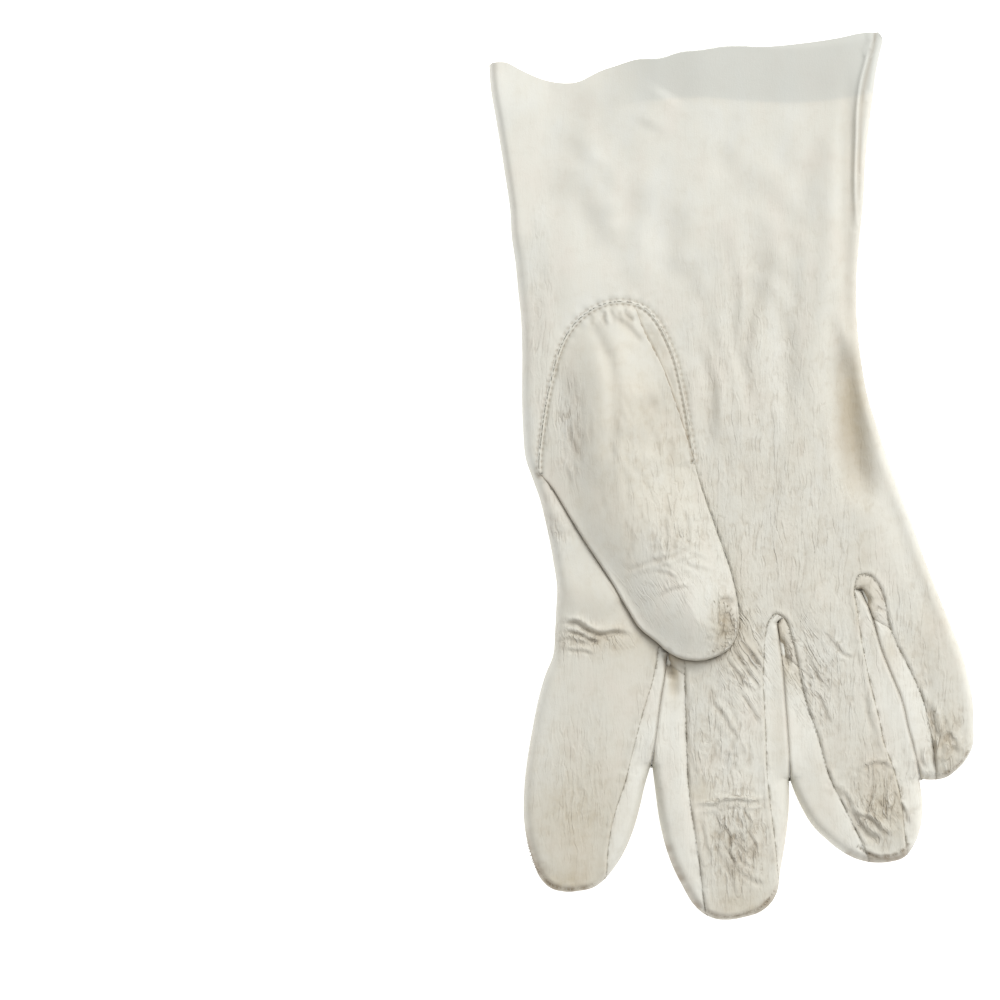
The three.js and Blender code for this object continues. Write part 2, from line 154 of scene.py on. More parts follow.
thumb_seam = [
    (539, 474), (539, 460), (541, 440), (545, 410), (551, 381), (558, 355), (567, 335), (578, 321),
    (591, 311), (605, 305), (619, 303), (634, 305), (646, 311), (656, 322), (665, 338), (673, 357),
    (680, 385), (686, 415), (690, 440), (693, 461),
]
thumb_hole_end = [
    (693, 461), (689, 484), (672, 499), (640, 505), (606, 502), (575, 491), (553, 480), (539, 474),
]
thumb_free_edge = [
    (693, 461), (700, 487), (706, 504), (715, 530), (722, 549), (731, 577), (736, 600), (738, 618),
    (735, 636), (727, 649), (715, 656), (697, 660), (680, 658), (665, 650), (655, 641), (640, 629),
    (625, 606), (609, 579), (598, 562), (586, 544), (567, 513), (557, 496), (549, 484), (539, 474),
]
thumb_fold = [
    (635, 311), (641, 327), (654, 353), (664, 374), (674, 402), (681, 423), (687, 441), (693, 461),
]

# Folds and creases of palm and fingers: breadth and depth in millimetres, lip as a share of depth

palm_folds = [
    # places, breadth, depth, lip
    ([(556, 618), (566, 623), (575, 622), (586, 629), (600, 634), (616, 632), (632, 636)], 0.65, 1.0, 0.6),
    ([(556, 628), (568, 631), (580, 634), (592, 640), (604, 640)], 0.45, 0.5, 0.9),
    ([(557, 644), (570, 650), (584, 651), (596, 656)], 0.45, 0.35, 0.9),
    ([(560, 634), (575, 641), (592, 644)], 0.6, 0.35, 0.8),
    ([(557, 596), (575, 592), (600, 597), (618, 612)], 6.0, -1.1, 0.0),
    ([(540, 512), (550, 520), (560, 541)], 1.2, 0.4, -0.6),
    ([(590, 84), (575, 120), (560, 170), (545, 230)], 4.2, 0.7, 0.0),
    ([(847, 62), (848, 140), (847, 220), (847, 290), (850, 340), (850, 380)], 1.9, 1.2, 0.0),
    ([(832, 110), (831, 180), (828, 250), (822, 300), (815, 360), (809, 430)], 2.8, -0.9, 0.0),
    ([(845, 335), (847, 385), (850, 425), (857, 470), (868, 515)], 3.8, 3.4, 0.0),
    ([(880, 480), (897, 520), (910, 560), (926, 600), (941, 650)], 2.6, 0.7, 0.0),
    ([(646, 132), (656, 112), (668, 92)], 4.0, -0.6, 0.0),
    ([(650, 86), (668, 95), (700, 99), (740, 104), (800, 106), (840, 101)], 1.1, 0.0, 0.0),
    ([(745, 275), (741, 330), (725, 385), (704, 430)], 1.8, -0.35, 0.0),
    ([(760, 290), (757, 340), (752, 420)], 1.8, -0.3, 0.0),
    ([(820, 630), (832, 642), (842, 654), (855, 658)], 0.5, 0.3, 0.6),
    ([(689, 804), (700, 801), (712, 801), (723, 797), (736, 796), (752, 798), (768, 795)], 0.42, -0.75, 0.0),
    ([(691, 809), (706, 807), (720, 805), (734, 802), (750, 804), (768, 801)], 0.36, 0.12, -2.6),
    ([(716, 806), (723, 813), (722, 822), (729, 836), (728, 850), (733, 862), (730, 873), (733, 888)],
     0.36, 0.5, 0.9),
    ([(740, 800), (744, 812), (749, 820), (748, 832), (755, 845), (751, 856), (753, 868)], 0.34, 0.4, 0.9),
    ([(738, 690), (750, 708), (760, 726)], 0.5, 0.35, 0.6),
    ([(744, 640), (756, 662), (765, 676)], 0.5, 0.3, 0.6),
    ([(735, 735), (727, 752), (722, 768)], 0.6, 0.4, 0.5),
    ([(862, 690), (866, 712), (872, 735)], 0.6, 0.35, 0.5),
    ([(848, 806), (856, 822), (870, 836), (884, 838)], 1.0, 0.9, 0.5),
    ([(868, 800), (880, 822), (893, 834)], 1.2, -0.6, 0.0),
    ([(832, 784), (846, 800), (852, 818)], 0.7, 0.5, 0.6),
    ([(858, 848), (870, 854), (885, 857), (900, 854), (910, 842)], 0.5, 0.6, 0.6),
    ([(926, 700), (931, 722), (936, 742)], 0.9, 0.8, 0.6),
    ([(944, 728), (950, 742), (955, 755)], 0.9, 0.7, 0.6),
    ([(939, 762), (944, 750), (953, 738)], 1.4, -0.7, 0.0),
    ([(540, 878), (552, 886), (570, 889), (590, 885), (602, 877)], 1.2, -0.4, 0.0),
    ([(715, 912), (735, 914), (757, 908), (772, 895)], 1.2, -0.3, 0.0),
    ([(735, 870), (752, 880), (765, 884)], 0.8, 0.35, 0.5),
    ([(655, 780), (660, 812), (668, 842)], 1.6, 0.3, 0.0),
    ([(685, 672), (686, 720), (688, 762), (691, 810)], 1.3, 0.55, 0.0),
    ([(668, 655), (672, 675), (674, 700)], 1.3, 0.8, 0.0),
    ([(664, 650), (668, 664), (670, 680)], 0.9, 1.6, 0.0),
    ([(779, 634), (783, 650), (788, 670)], 0.8, 1.5, 0.0),
    ([(855, 586), (862, 593), (869, 606)], 0.8, 1.6, 0.0),
    ([(851, 811), (859, 815), (869, 818), (877, 827), (881, 836)], 0.5, 0.5, 0.9),
    ([(893, 798), (902, 808), (905, 824)], 0.5, 0.45, 0.8),
    ([(857, 771), (869, 764), (884, 764), (896, 773)], 0.6, 0.35, 0.9),
    ([(873, 778), (868, 800), (861, 822)], 0.5, 0.4, 0.8),
    ([(885, 776), (883, 800), (881, 822)], 0.5, 0.35, 0.8),
    ([(903, 814), (913, 808), (921, 803)], 0.4, 0.3, -0.9),
    ([(803, 650), (812, 668), (822, 690)], 0.5, 0.3, 0.8),
    ([(812, 690), (822, 706), (828, 724)], 0.5, 0.3, 0.8),
    ([(728, 640), (742, 664), (760, 690)], 0.45, 0.35, 0.9),
    ([(722, 652), (738, 676), (754, 694)], 0.45, 0.3, 0.9),
    ([(734, 632), (748, 652), (763, 668)], 0.45, 0.3, 0.9),
    ([(708, 696), (722, 716), (738, 744)], 0.6, 0.3, 0.9),
    ([(706, 770), (712, 752), (716, 736)], 0.5, 0.3, 0.8),
    ([(728, 776), (733, 758), (730, 742)], 0.5, 0.3, 0.8),
    ([(744, 770), (749, 752), (745, 738)], 0.5, 0.3, 0.8),
    ([(700, 815), (703, 836), (709, 860)], 0.5, 0.3, 0.8),
    ([(712, 808), (718, 826), (716, 846)], 0.5, 0.3, 0.8),
    ([(735, 838), (744, 852), (756, 838)], 0.4, 0.3, 0.9),
    ([(920, 744), (918, 758), (926, 768)], 0.6, 0.45, 0.9),
    ([(934, 735), (932, 752), (934, 772)], 0.5, 0.6, 0.9),
    ([(944, 738), (944, 752), (938, 766)], 0.7, -0.5, 0.0),
]

# The cuff's curled corner, its side seam and its hem, and the stitched rims of the fingertips

cuff_curl = [(547, 70), (549, 84), (551, 110), (543, 150), (535, 190), (529, 220), (516, 258)]
side_seam = [(869, 36), (864, 60), (858, 85), (855, 110), (854, 140), (853, 170), (853, 198), (855, 225)]
hem_line = [(548, 112), (600, 112), (650, 104), (700, 101), (740, 104), (800, 106), (840, 102), (872, 96)]

tip_seams = {
    "index": [(527, 838), (532, 858), (541, 873), (552, 883), (566, 887), (582, 886), (596, 881)],
    "middle": [(703, 906), (714, 913), (728, 915), (744, 912), (758, 906), (768, 897), (775, 886)],
    "ring": [(853, 842), (862, 849), (874, 854), (888, 854), (901, 849), (909, 839)],
    "little": [(938, 774), (950, 769), (960, 760), (968, 746)],
}

# Fingertip rims darkened by wear and soil, and by painted shade where they turn away from the light
worn_and_shaded_rims = [
    # places, breadth, strength
    ([(525, 822), (527, 842), (534, 862), (542, 877), (553, 888), (568, 891), (584, 890), (600, 883)],
     0.75, 1.0),
    ([(662, 832), (668, 852), (678, 876), (690, 897), (700, 910), (714, 917), (730, 919)], 0.75, 0.9),
    ([(740, 917), (756, 913), (767, 905), (775, 894), (779, 880)], 0.7, 0.8),
    ([(836, 847), (848, 855), (862, 860), (880, 861), (897, 859), (908, 852), (915, 842)], 0.75, 0.9),
    ([(918, 776), (930, 779), (944, 777), (956, 769)], 0.6, 0.6),
]

thumb_folds = [
    # places, breadth, depth, lip
    ([(566, 365), (565, 395), (567, 430), (574, 475)], 2.6, 0.7, 0.0),
    ([(577, 380), (580, 420), (581, 465)], 1.1, 0.4, 0.0),
    ([(592, 345), (598, 385), (597, 430), (590, 490)], 3.2, -0.8, 0.0),
    ([(602, 335), (613, 380), (614, 425), (606, 470)], 1.9, 0.75, 0.0),
    ([(590, 324), (600, 342), (608, 364)], 1.5, 0.5, 0.0),
    ([(612, 315), (628, 330), (643, 346)], 0.9, 0.45, 0.4),
    ([(622, 312), (627, 318), (634, 322)], 0.6, 0.5, 0.6),
    ([(604, 310), (603, 320), (606, 328)], 0.6, 0.4, 0.6),
    ([(638, 311), (650, 331), (660, 352), (669, 376), (675, 398)], 0.42, 0.6, -0.5),
    ([(645, 392), (650, 420), (644, 460)], 3.0, 0.8, 0.0),
    ([(632, 380), (626, 410), (628, 440)], 3.0, -0.4, 0.0),
    ([(663, 512), (665, 534), (664, 556)], 0.5, 0.35, 0.7),
    ([(684, 508), (687, 532), (686, 552)], 0.5, 0.3, 0.7),
    ([(620, 573), (650, 562), (675, 555), (694, 545)], 0.6, 0.3, -0.9),
    ([(655, 598), (668, 590), (690, 586)], 0.5, 0.25, 0.8),
    ([(712, 604), (720, 612), (722, 632), (713, 645)], 1.5, 0.6, 0.0),
    ([(716, 600), (728, 600), (737, 602)], 0.7, 0.45, 0.7),
    ([(728, 606), (728, 618), (731, 630), (727, 642)], 0.6, 0.4, 0.7),
    ([(700, 470), (708, 500), (716, 528), (728, 560)], 2.0, -0.3, 0.0),
]

# Fine wrinkles, drawn with a fixed seed: middle and spread in pixels, heading from the fingers' line

palm_wrinkles = [
    # middle, spread, heading, wander, length, breadth, depth, count
    ((760, 430), (70, 120), 2, 4, 16.0, 0.6, 0.12, 110),
    ((750, 360), (80, 110), 4, 6, 34.0, 2.0, 0.8, 24),
    ((800, 540), (60, 80), -8, 8, 12.0, 0.7, 0.12, 60),
    ((742, 645), (18, 36), 35, 16, 7.0, 0.42, 0.24, 46),
    ((820, 650), (16, 40), 32, 16, 6.0, 0.45, 0.16, 26),
    ((640, 220), (90, 80), 0, 30, 20.0, 3.0, 0.45, 26),
    ((780, 200), (60, 80), 5, 30, 22.0, 3.2, 0.35, 24),
    ((590, 640), (30, 8), 78, 14, 6.0, 0.45, 0.22, 20),
    ((555, 530), (10, 18), 60, 18, 5.0, 0.45, 0.2, 14),
    ((580, 780), (30, 60), 4, 8, 9.0, 0.6, 0.1, 40),
    ((725, 720), (26, 60), 22, 22, 7.0, 0.5, 0.2, 44),
    ((705, 740), (12, 50), 84, 10, 3.0, 0.4, 0.14, 24),
    ((738, 850), (20, 30), 6, 26, 6.0, 0.42, 0.3, 46),
    ((725, 800), (30, 14), 82, 10, 7.0, 0.42, 0.2, 16),
    ((705, 860), (12, 30), 12, 14, 6.0, 0.45, 0.2, 16),
    ((870, 770), (28, 40), 10, 30, 6.0, 0.5, 0.2, 36),
    ((885, 815), (20, 20), 40, 30, 5.0, 0.5, 0.3, 20),
    ((840, 780), (14, 14), 70, 14, 5.0, 0.42, 0.22, 16),
    ((830, 700), (30, 40), -12, 16, 8.0, 0.5, 0.15, 34),
    ((805, 700), (16, 50), 24, 16, 6.0, 0.45, 0.15, 24),
    ((920, 640), (24, 60), -18, 14, 9.0, 0.7, 0.15, 30),
    ((945, 740), (12, 26), -8, 24, 5.0, 0.5, 0.28, 16),
    ((790, 655), (5, 12), 50, 12, 2.6, 0.35, 0.2, 14),
    ((876, 606), (7, 10), 60, 16, 2.6, 0.35, 0.22, 14),
    ((540, 330), (10, 90), 4, 8, 14.0, 1.2, 0.14, 16),
]
thumb_wrinkles = [
    ((572, 425), (12, 36), 6, 5, 9.0, 0.42, 0.2, 34),
    ((640, 440), (32, 60), 12, 8, 14.0, 0.7, 0.18, 44),
    ((655, 540), (34, 26), 4, 10, 8.0, 0.45, 0.18, 36),
    ((665, 565), (36, 12), 72, 10, 10.0, 0.5, 0.2, 20),
    ((720, 622), (10, 24), 60, 26, 4.0, 0.42, 0.28, 26),
    ((618, 318), (24, 8), 0, 22, 3.6, 0.45, 0.2, 26),
]

# Where hairline wrinkles lie upright or slanting, and stains of use with painted shade among them: middle,
# spread in pixels, strength

fine_lines = [
    ((760, 410), (90, 160), 0.3), ((800, 560), (90, 70), 0.28), ((735, 840), (34, 60), 0.95),
    ((880, 800), (32, 44), 0.9), ((575, 640), (40, 20), 0.5), ((568, 425), (14, 46), 0.6),
    ((645, 470), (50, 60), 0.22), ((675, 540), (34, 30), 0.38), ((722, 625), (14, 28), 0.9),
    ((940, 740), (26, 44), 0.9), ((715, 730), (40, 60), 0.6), ((830, 690), (40, 60), 0.5),
    ((580, 790), (50, 90), 0.32), ((550, 530), (16, 24), 0.6), ((540, 340), (14, 120), 0.3),
    ((910, 640), (36, 60), 0.4), ((650, 740), (16, 70), 0.3),
]
slanting_lines = [
    ((744, 655), (20, 42), 1.0), ((805, 665), (22, 44), 0.7), ((660, 590), (50, 30), 0.2),
    ((790, 655), (8, 16), 0.5), ((875, 612), (9, 18), 0.8), ((870, 815), (24, 22), 0.6),
    ((735, 845), (26, 30), 0.35), ((592, 640), (36, 10), 0.5),
]
# Stains of use, and painted shade: the dent at the wrist's outer side (849, 412) and (862, 470), and the pits
# at the forks (672, 656), (779, 645) and (862, 600)
palm_stains_and_shade = [
    ((575, 830), (42, 62), 0.42), ((565, 880), (30, 14), 0.5), ((735, 860), (30, 55), 0.4),
    ((885, 800), (26, 40), 0.5), ((745, 905), (34, 12), 0.4), ((945, 745), (22, 34), 0.35),
    ((690, 650), (40, 16), 0.3), ((740, 640), (20, 34), 0.35), ((600, 640), (50, 12), 0.3),
    ((779, 645), (8, 22), 0.6), ((862, 600), (10, 20), 0.6), ((830, 560), (40, 60), 0.1),
    ((849, 412), (12, 52), 0.8), ((862, 470), (12, 90), 0.3), ((700, 790), (16, 10), 0.3),
    ((672, 656), (8, 7), 0.8), ((740, 790), (280, 150), 0.3), ((750, 570), (170, 90), 0.14),
    ((740, 430), (190, 150), 0.22), ((570, 820), (60, 90), 0.1), ((620, 620), (60, 60), 0.22),
    ((930, 650), (26, 90), 0.24), ((850, 240), (40, 160), 0.14), ((735, 850), (30, 70), -0.14),
    ((740, 730), (30, 60), -0.12),
]
# Stains on the strips, and painted shade below the thumb's tip (674, 672) and by the forks (786, 662), (800,
# 672), (872, 640), (888, 645)
strip_stains_and_shade = [
    ((674, 672), (6, 28), 0.9), ((786, 662), (4, 26), 0.5), ((800, 672), (12, 24), 0.5),
    ((888, 645), (9, 26), 0.4), ((777, 730), (8, 70), 0.3), ((820, 790), (20, 50), 0.16),
    ((872, 640), (4, 26), 0.25),
]
thumb_stains = [
    ((722, 625), (14, 26), 0.8), ((568, 425), (14, 46), -0.2), ((690, 600), (50, 40), -0.12),
    ((640, 440), (120, 170), 0.42),
]
thumb_tip_seam = [(713, 601), (724, 603), (731, 612), (732, 628), (724, 642), (712, 650)]

# Curves in plan


def in_plan(pixels):
    """Places over the floor, in millimetres, of places in the photograph."""
    spots = np.asarray(pixels, float)
    return np.stack([(spots[..., 0] - MIDDLE[0]) * PIXEL, (MIDDLE[1] - spots[..., 1]) * PIXEL], axis=-1)


def even_steps(curve, step):
    run = np.concatenate([[0], np.cumsum(np.hypot(*np.diff(curve, axis=0).T))])
    count = max(2, int(round(run[-1] / step)) + 1)
    wanted = np.linspace(0, run[-1], count)
    return np.stack([np.interp(wanted, run, curve[:, axis]) for axis in (0, 1)], axis=1)


def smooth(points, step=OUTLINE_STEP):
    """A smooth curve through the points, in even steps."""
    run = np.concatenate([[0], np.cumsum(np.hypot(*np.diff(points, axis=0).T))])
    slope = np.gradient(points, run, axis=0)
    wanted = np.linspace(0, run[-1], 12 * len(points))
    place = np.clip(np.searchsorted(run, wanted, side="right") - 1, 0, len(run) - 2)
    gap = (run[place + 1] - run[place])[:, None]
    share = (wanted - run[place])[:, None] / gap
    near, far = share**2 * (3 - 2 * share), share * (1 - share)
    curve = points[place] * (1 - near) + points[place + 1] * near
    curve = curve + gap * far * ((1 - share) * slope[place] - share * slope[place + 1])
    return even_steps(curve, step)


def drawn(pixels, step=OUTLINE_STEP):
    return smooth(in_plan(pixels), step)


def aside(curve):
    """Unit vectors to the left of a curve."""
    ahead = np.gradient(curve, axis=0)
    ahead /= np.hypot(*ahead.T)[:, None]
    return np.stack([-ahead[:, 1], ahead[:, 0]], axis=1)


def beside(spots, line, reach):
    """How far spots are from a line, on which side, and at what share of its length."""
    far = np.full(len(spots), reach)
    side = np.zeros(len(spots))
    along = np.zeros(len(spots))
    inside = np.all((spots > line.min(axis=0) - reach) & (spots < line.max(axis=0) + reach), axis=1)
    chosen = np.flatnonzero(inside)
    start, step = line[:-1], np.diff(line, axis=0)
    length = np.maximum(np.hypot(*step.T), 1e-9)
    run = np.concatenate([[0], np.cumsum(length)])
    for part in np.array_split(chosen, max(1, len(chosen) * len(start) // 2000000)):
        if not len(part):
            continue
        away = spots[part][:, None, :] - start[None]
        share = np.clip((away * step).sum(axis=2) / length**2, 0, 1)
        gap = away - share[..., None] * step
        square = (gap**2).sum(axis=2)
        best = square.argmin(axis=1)
        rows = np.arange(len(part))
        near = np.sqrt(square[rows, best])
        cross = step[best, 0] * away[rows, best, 1] - step[best, 1] * away[rows, best, 0]
        close = near < reach
        far[part[close]] = near[close]
        side[part] = np.sign(cross)
        along[part] = (run[best] + share[rows, best] * length[best]) / run[-1]
    return far, side, along


def inside(spots, loop):
    """Which spots lie inside a closed loop."""
    result = np.zeros(len(spots), bool)
    low, high = loop.min(axis=0), loop.max(axis=0)
    chosen = np.flatnonzero(np.all((spots >= low) & (spots <= high), axis=1))
    x, y = spots[chosen].T
    odd = np.zeros(len(chosen), bool)
    for (x0, y0), (x1, y1) in zip(loop, np.roll(loop, -1, axis=0)):
        if y0 == y1:
            continue
        crossing = (y0 > y) != (y1 > y)
        odd ^= crossing & (x < x0 + (y - y0) / (y1 - y0) * (x1 - x0))
    result[chosen] = odd
    return result


# Heights


def rounded(distance, radius):
    share = np.clip(distance / radius, 0, 1)
    return np.sqrt(np.maximum(1 - (1 - share) ** 2, 0))


def bell(distance, breadth):
    return np.exp(-((distance / breadth) ** 2))


def fade(share, ends=0.25):
    """1 along a fold and 0 at both its ends."""
    near = np.clip(np.minimum(share, 1 - share) / ends, 0, 1)
    return near * near * (3 - 2 * near)


def folded(spots, folds):
    """Height of the folds, and how deep their creases are, at the spots. The creases' depth darkens the
    colour as soil and painted shade.
    """
    height = np.zeros(len(spots))
    crease = np.zeros(len(spots))
    for pixels, breadth, depth, lip in folds:
        far, side, share = beside(spots, drawn(pixels, 1.0), 4 * breadth)
        line = bell(far, breadth) * fade(share)
        height -= depth * line
        beyond = bell(far * side - 1.6 * breadth * np.sign(lip), breadth * 1.1)
        height += abs(lip) * depth * beyond * fade(share) * (far < 3.9 * breadth)
        if depth > 0:
            crease += line * min(depth / breadth, 1.2) * 0.42
    return height, crease


def wrinkled(spots, wrinkles, rng):
    height = np.zeros(len(spots))
    crease = np.zeros(len(spots))
    for middle, spread, heading, wander, length, breadth, depth, count in wrinkles:
        for _ in range(count):
            angle = math.radians(heading + wander * rng.normal())
            reach = length * rng.uniform(0.4, 1.2)
            start = in_plan(middle) + rng.normal(size=2) * 0.6 * np.array(spread) * PIXEL
            ahead = np.array([math.sin(angle), -math.cos(angle)])
            bow = np.array([ahead[1], -ahead[0]]) * rng.normal() * reach * 0.08
            line = smooth(np.array([start - ahead * reach / 2, start + bow, start + ahead * reach / 2]), 1.5)
            width = breadth * rng.uniform(0.7, 1.4)
            far, side, share = beside(spots, line, 4 * width)
            deep = depth * rng.uniform(0.2, 0.8) * fade(share, 0.45)
            height -= deep * bell(far, width)
            height += 0.7 * deep * bell(far * side - 1.6 * width, width) * (far < 3.9 * width)
            # Darkens the wrinkle's groove: soil and painted shade
            crease += deep / breadth * bell(far, width) * 0.5
    return height, np.minimum(crease, 0.6)


def uneven(spots, rng, count, radius, height):
    """Gentle bumps and hollows of soft leather."""
    total = np.zeros(len(spots))
    low, high = in_plan([(489, 925), (975, 30)])
    for _ in range(count):
        middle = rng.uniform(low, high)
        size = radius * rng.uniform(0.6, 1.5)
        shape = np.array([rng.uniform(0.5, 0.9), rng.uniform(1.2, 2.6)])
        away = (((spots - middle) / shape / size) ** 2).sum(axis=1)
        total += height * rng.normal() * np.exp(-away)
    return total


def spotted(spots, stains):
    """How strongly a list of soft-edged spots marks each place."""
    total = np.zeros(len(spots))
    for middle, spread, strength in stains:
        away = (((spots - in_plan(middle)) / (np.array(spread) * PIXEL)) ** 2).sum(axis=1)
        total += strength * np.exp(-away)
    return np.clip(total, 0, 1)


# Closed edges of the glove: each finger's stretch runs from fork to fork

crevice_lines = {name: drawn(pixels) for name, pixels in crevices.items()}


def crevice_side(name, sign):
    """One wall of a crevice, from the fingertips to the fork."""
    line = crevice_lines[name]
    width = CREVICE_WIDTH / 2 * np.linspace(1, 0, len(line)) ** 0.5
    return line + sign * width[:, None] * aside(line)


def stretch(name_before, pixels, name_after):
    parts = []
    if name_before:
        parts.append(crevice_side(name_before, 1)[::-1])
    parts.append(drawn(pixels))
    if name_after:
        parts.append(crevice_side(name_after, -1))
    joined = [parts[0]]
    for part in parts[1:]:
        bridge = even_steps(np.array([joined[-1][-1], part[0]]), OUTLINE_STEP)
        joined += [bridge[1:-1], part]
    return np.concatenate(joined)


fingers = {
    "index": stretch(None, forefinger_side, "index_middle"),
    "middle": stretch("index_middle", middle_side, "middle_ring")[1:],
    "ring": stretch("middle_ring", ring_side, "ring_little")[1:],
    "little": stretch("ring_little", little_side, None)[1:],
}
closed_edge = np.concatenate(list(fingers.values()))
mouth_edge = drawn([little_side[-1]] + cuff_edge + [forefinger_side[0]])
outline = np.concatenate([closed_edge, mouth_edge[1:-1]])
cuff_curl_line = drawn(cuff_curl)
side_seam_line = drawn(side_seam)
hem_fold_line = drawn(hem_line)
silhouettes = [drawn(pixels) for pixels in (forefinger_side, middle_side, ring_side, little_side)]


def onto_edge(line):
    """A seam line that starts and ends on corners of the closed edge."""
    ends = [int(np.hypot(*(closed_edge - end).T).argmin()) for end in (line[0], line[-1])]
    line = line.copy()
    line[0], line[-1] = closed_edge[ends[0]], closed_edge[ends[1]]
    return line, ends


seam_lines, seam_ends = {}, {}
for name, pixels in fork_seams.items():
    seam_lines[name], seam_ends[name] = onto_edge(drawn(pixels, 0.7))


def strip_loop(name):
    """Loop round the strip between two fingers, from above."""
    start, stop = seam_ends[name]
    return np.concatenate([closed_edge[start : stop + 1], seam_lines[name][::-1][1:-1]])


def back_line(name):
    """The strip's seam on the back of the glove."""
    start, stop = seam_ends[name]
    fork = int(np.hypot(*(closed_edge - crevice_lines[name][-1]).T).argmin())
    before, after = closed_edge[start : fork - 1], closed_edge[fork + 2 : stop + 1]

    def inset(count):
        return BACK_SEAM_INSET * np.minimum(1, np.arange(count) * OUTLINE_STEP / BACK_SEAM_RUN)[:, None]

    left = before + aside(before) * inset(len(before))
    right = after + aside(after) * inset(len(after))[::-1]
    centre = closed_edge[fork]
    first, last = left[-1] - centre, right[0] - centre
    turn = math.atan2(first[1], first[0]), math.atan2(last[1], last[0])
    sweep = (turn[1] - turn[0]) % (-2 * math.pi)
    round_fork = [
        centre + BACK_SEAM_INSET * np.array([math.cos(turn[0] + sweep * s), math.sin(turn[0] + sweep * s)])
        for s in np.linspace(0.12, 0.88, 8)
    ]
    return np.concatenate([left, np.array(round_fork), right])


back_lines = {name: back_line(name) for name in fork_seams}


def back_strip_loop(name):
    start, stop = seam_ends[name]
    return np.concatenate([closed_edge[start : stop + 1], back_lines[name][::-1][1:-1]])


def gusset_loop(name):
    shoulder, point = (in_plan(spot) for spot in gussets[name])
    crevice, seam = crevice_lines[name], seam_lines[name]
    shoulder_at = int(np.hypot(*(crevice - shoulder).T).argmin())
    point_at = int(np.hypot(*(seam - point).T).argmin())
    fork_at = int(np.hypot(*(seam - crevice[-1]).T).argmin())
    return crevice[shoulder_at:], seam[fork_at : point_at + 1]


# Shape of the palm side and of the back

hand_height_rows = in_plan([(700, 40), (700, 200), (700, 350), (700, 600), (700, 900)])[:, 1]
hand_height_values = [9.6, 9.8, 10.4, 10.6, 9.8]


def edge_height(spots):
    """Height where palm side and back meet: low round the outside, higher where two fingers touch."""
    level = np.full(len(spots), EDGE_HEIGHT)
    for line in crevice_lines.values():
        far, _, share = beside(spots, line, 8.0)
        run = share * OUTLINE_STEP * (len(line) - 1)
        rise = np.clip(run / 5.0, 0, 1) ** 0.6
        touch = TOUCH_HEIGHT - (TOUCH_HEIGHT - FORK_HEIGHT) * np.exp(-(((1 - share) / 0.17) ** 2))
        level = np.maximum(level, EDGE_HEIGHT + (touch - EDGE_HEIGHT) * rise * bell(far, 3.5))
    return level


def bed_height(spots):
    """The palm side without its small folds."""
    outer = np.full(len(spots), 40.0)
    for line in silhouettes:
        outer = np.minimum(outer, beside(spots, line, 40.0)[0])
    inner = np.full(len(spots), 12.0)
    for line in crevice_lines.values():
        inner = np.minimum(inner, beside(spots, line, 12.0)[0])
    full = np.interp(spots[:, 1], hand_height_rows[::-1], hand_height_values[::-1])
    side = 0.84 * rounded(outer, SIDE_RADIUS) + 0.16 * (1 - np.exp(-outer / 8))
    far, turned, _ = beside(spots, cuff_curl_line, 20.0)
    curled = np.clip(0.7 - np.where(turned < 0, -far, far) / 3.0, 0, 1) * in_cuff_corner(spots)
    side = side + (rounded(outer, CURL_RADIUS) - side) * curled
    crevice = 0.8 * rounded(inner, CREVICE_RADIUS) + 0.2 * (1 - np.exp(-inner / 4)) / (1 - math.exp(-3))
    lesser = (np.maximum(side, 1e-3) ** -4 + np.maximum(crevice, 1e-3) ** -4 - 1) ** -0.25
    low = edge_height(spots)
    return low + (full - low) * lesser


def wavering(run, rng, low, high, count=12):
    """An uneven wave along a seam, with its wavelengths between two limits."""
    wave = np.zeros(len(run))
    for _ in range(count):
        wave += np.cos(2 * math.pi * (run / rng.uniform(low, high) + rng.uniform()))
    return wave / math.sqrt(count / 2)


def seam_relief(spots, line, seed):
    """A strip's seam: the palm's leather laps over the strip, puckered by the stitches."""
    rng = np.random.default_rng(seed)
    far, side, share = beside(spots, line, 5.0)
    run = share * 0.7 * (len(line) - 1)
    pull = np.clip(0.7 + 0.4 * wavering(run, rng, 3.0, 14.0), 0.15, 1.5)
    pucker = wavering(run, rng, 0.9, 2.0) * np.clip(0.35 + 0.6 * wavering(run, rng, 6.0, 20.0), 0, 1.4)
    hand = (side > 0) & (far < 4.9)
    height = -SEAM_DEPTH * pull * bell(far, SEAM_BREADTH)
    height += SEAM_LIP * (0.5 + 0.5 * pull) * bell(far - 0.85, 0.5) * hand
    height -= SEAM_STEP * bell(far, 1.5) * (side < 0)
    height += 0.07 * pucker * bell(far - 1.0, 0.9)
    return height, np.clip(pull - 0.15, 0.05, 1.1) * bell(far, 0.26)


thumb_seam_line = drawn(thumb_seam, 0.4)
thumb_hole_line = drawn(thumb_hole_end, 1.2)
thumb_hole = np.concatenate([thumb_seam_line, thumb_hole_line[1:-1]])


def welt_relief(spots):
    """The thumb's seam: a narrow welt between two rows of stitches that pull the leather in."""
    far, side, share = beside(spots, thumb_seam_line, 5.0)
    row = bell(far - WELT_HALF, 0.24)
    pull = (0.5 + 0.5 * np.cos(share * 2 * math.pi * WELT_PUCKERS)) ** 2
    height = 0.2 * bell(far, 0.4) - (0.16 + 0.2 * pull) * row + 0.14 * bell(far - 1.5, 0.5)
    top = np.exp(-(((share - 0.52) / 0.16) ** 2))
    ripple = np.cos(share * 2 * math.pi * WELT_PUCKERS / 2.2) * bell(far - 1.3, 1.1)
    return height + 0.16 * top * ripple, (0.2 + 0.8 * pull) * row


def pressed_by_thumb(spots):
    """How far the palm yields under the free part of the thumb."""
    free = np.clip(beside(spots, thumb_free_line, 3.0)[0] / 0.8, 0, 1)
    return THUMB_PRESS * free * inside(spots, thumb_loop)


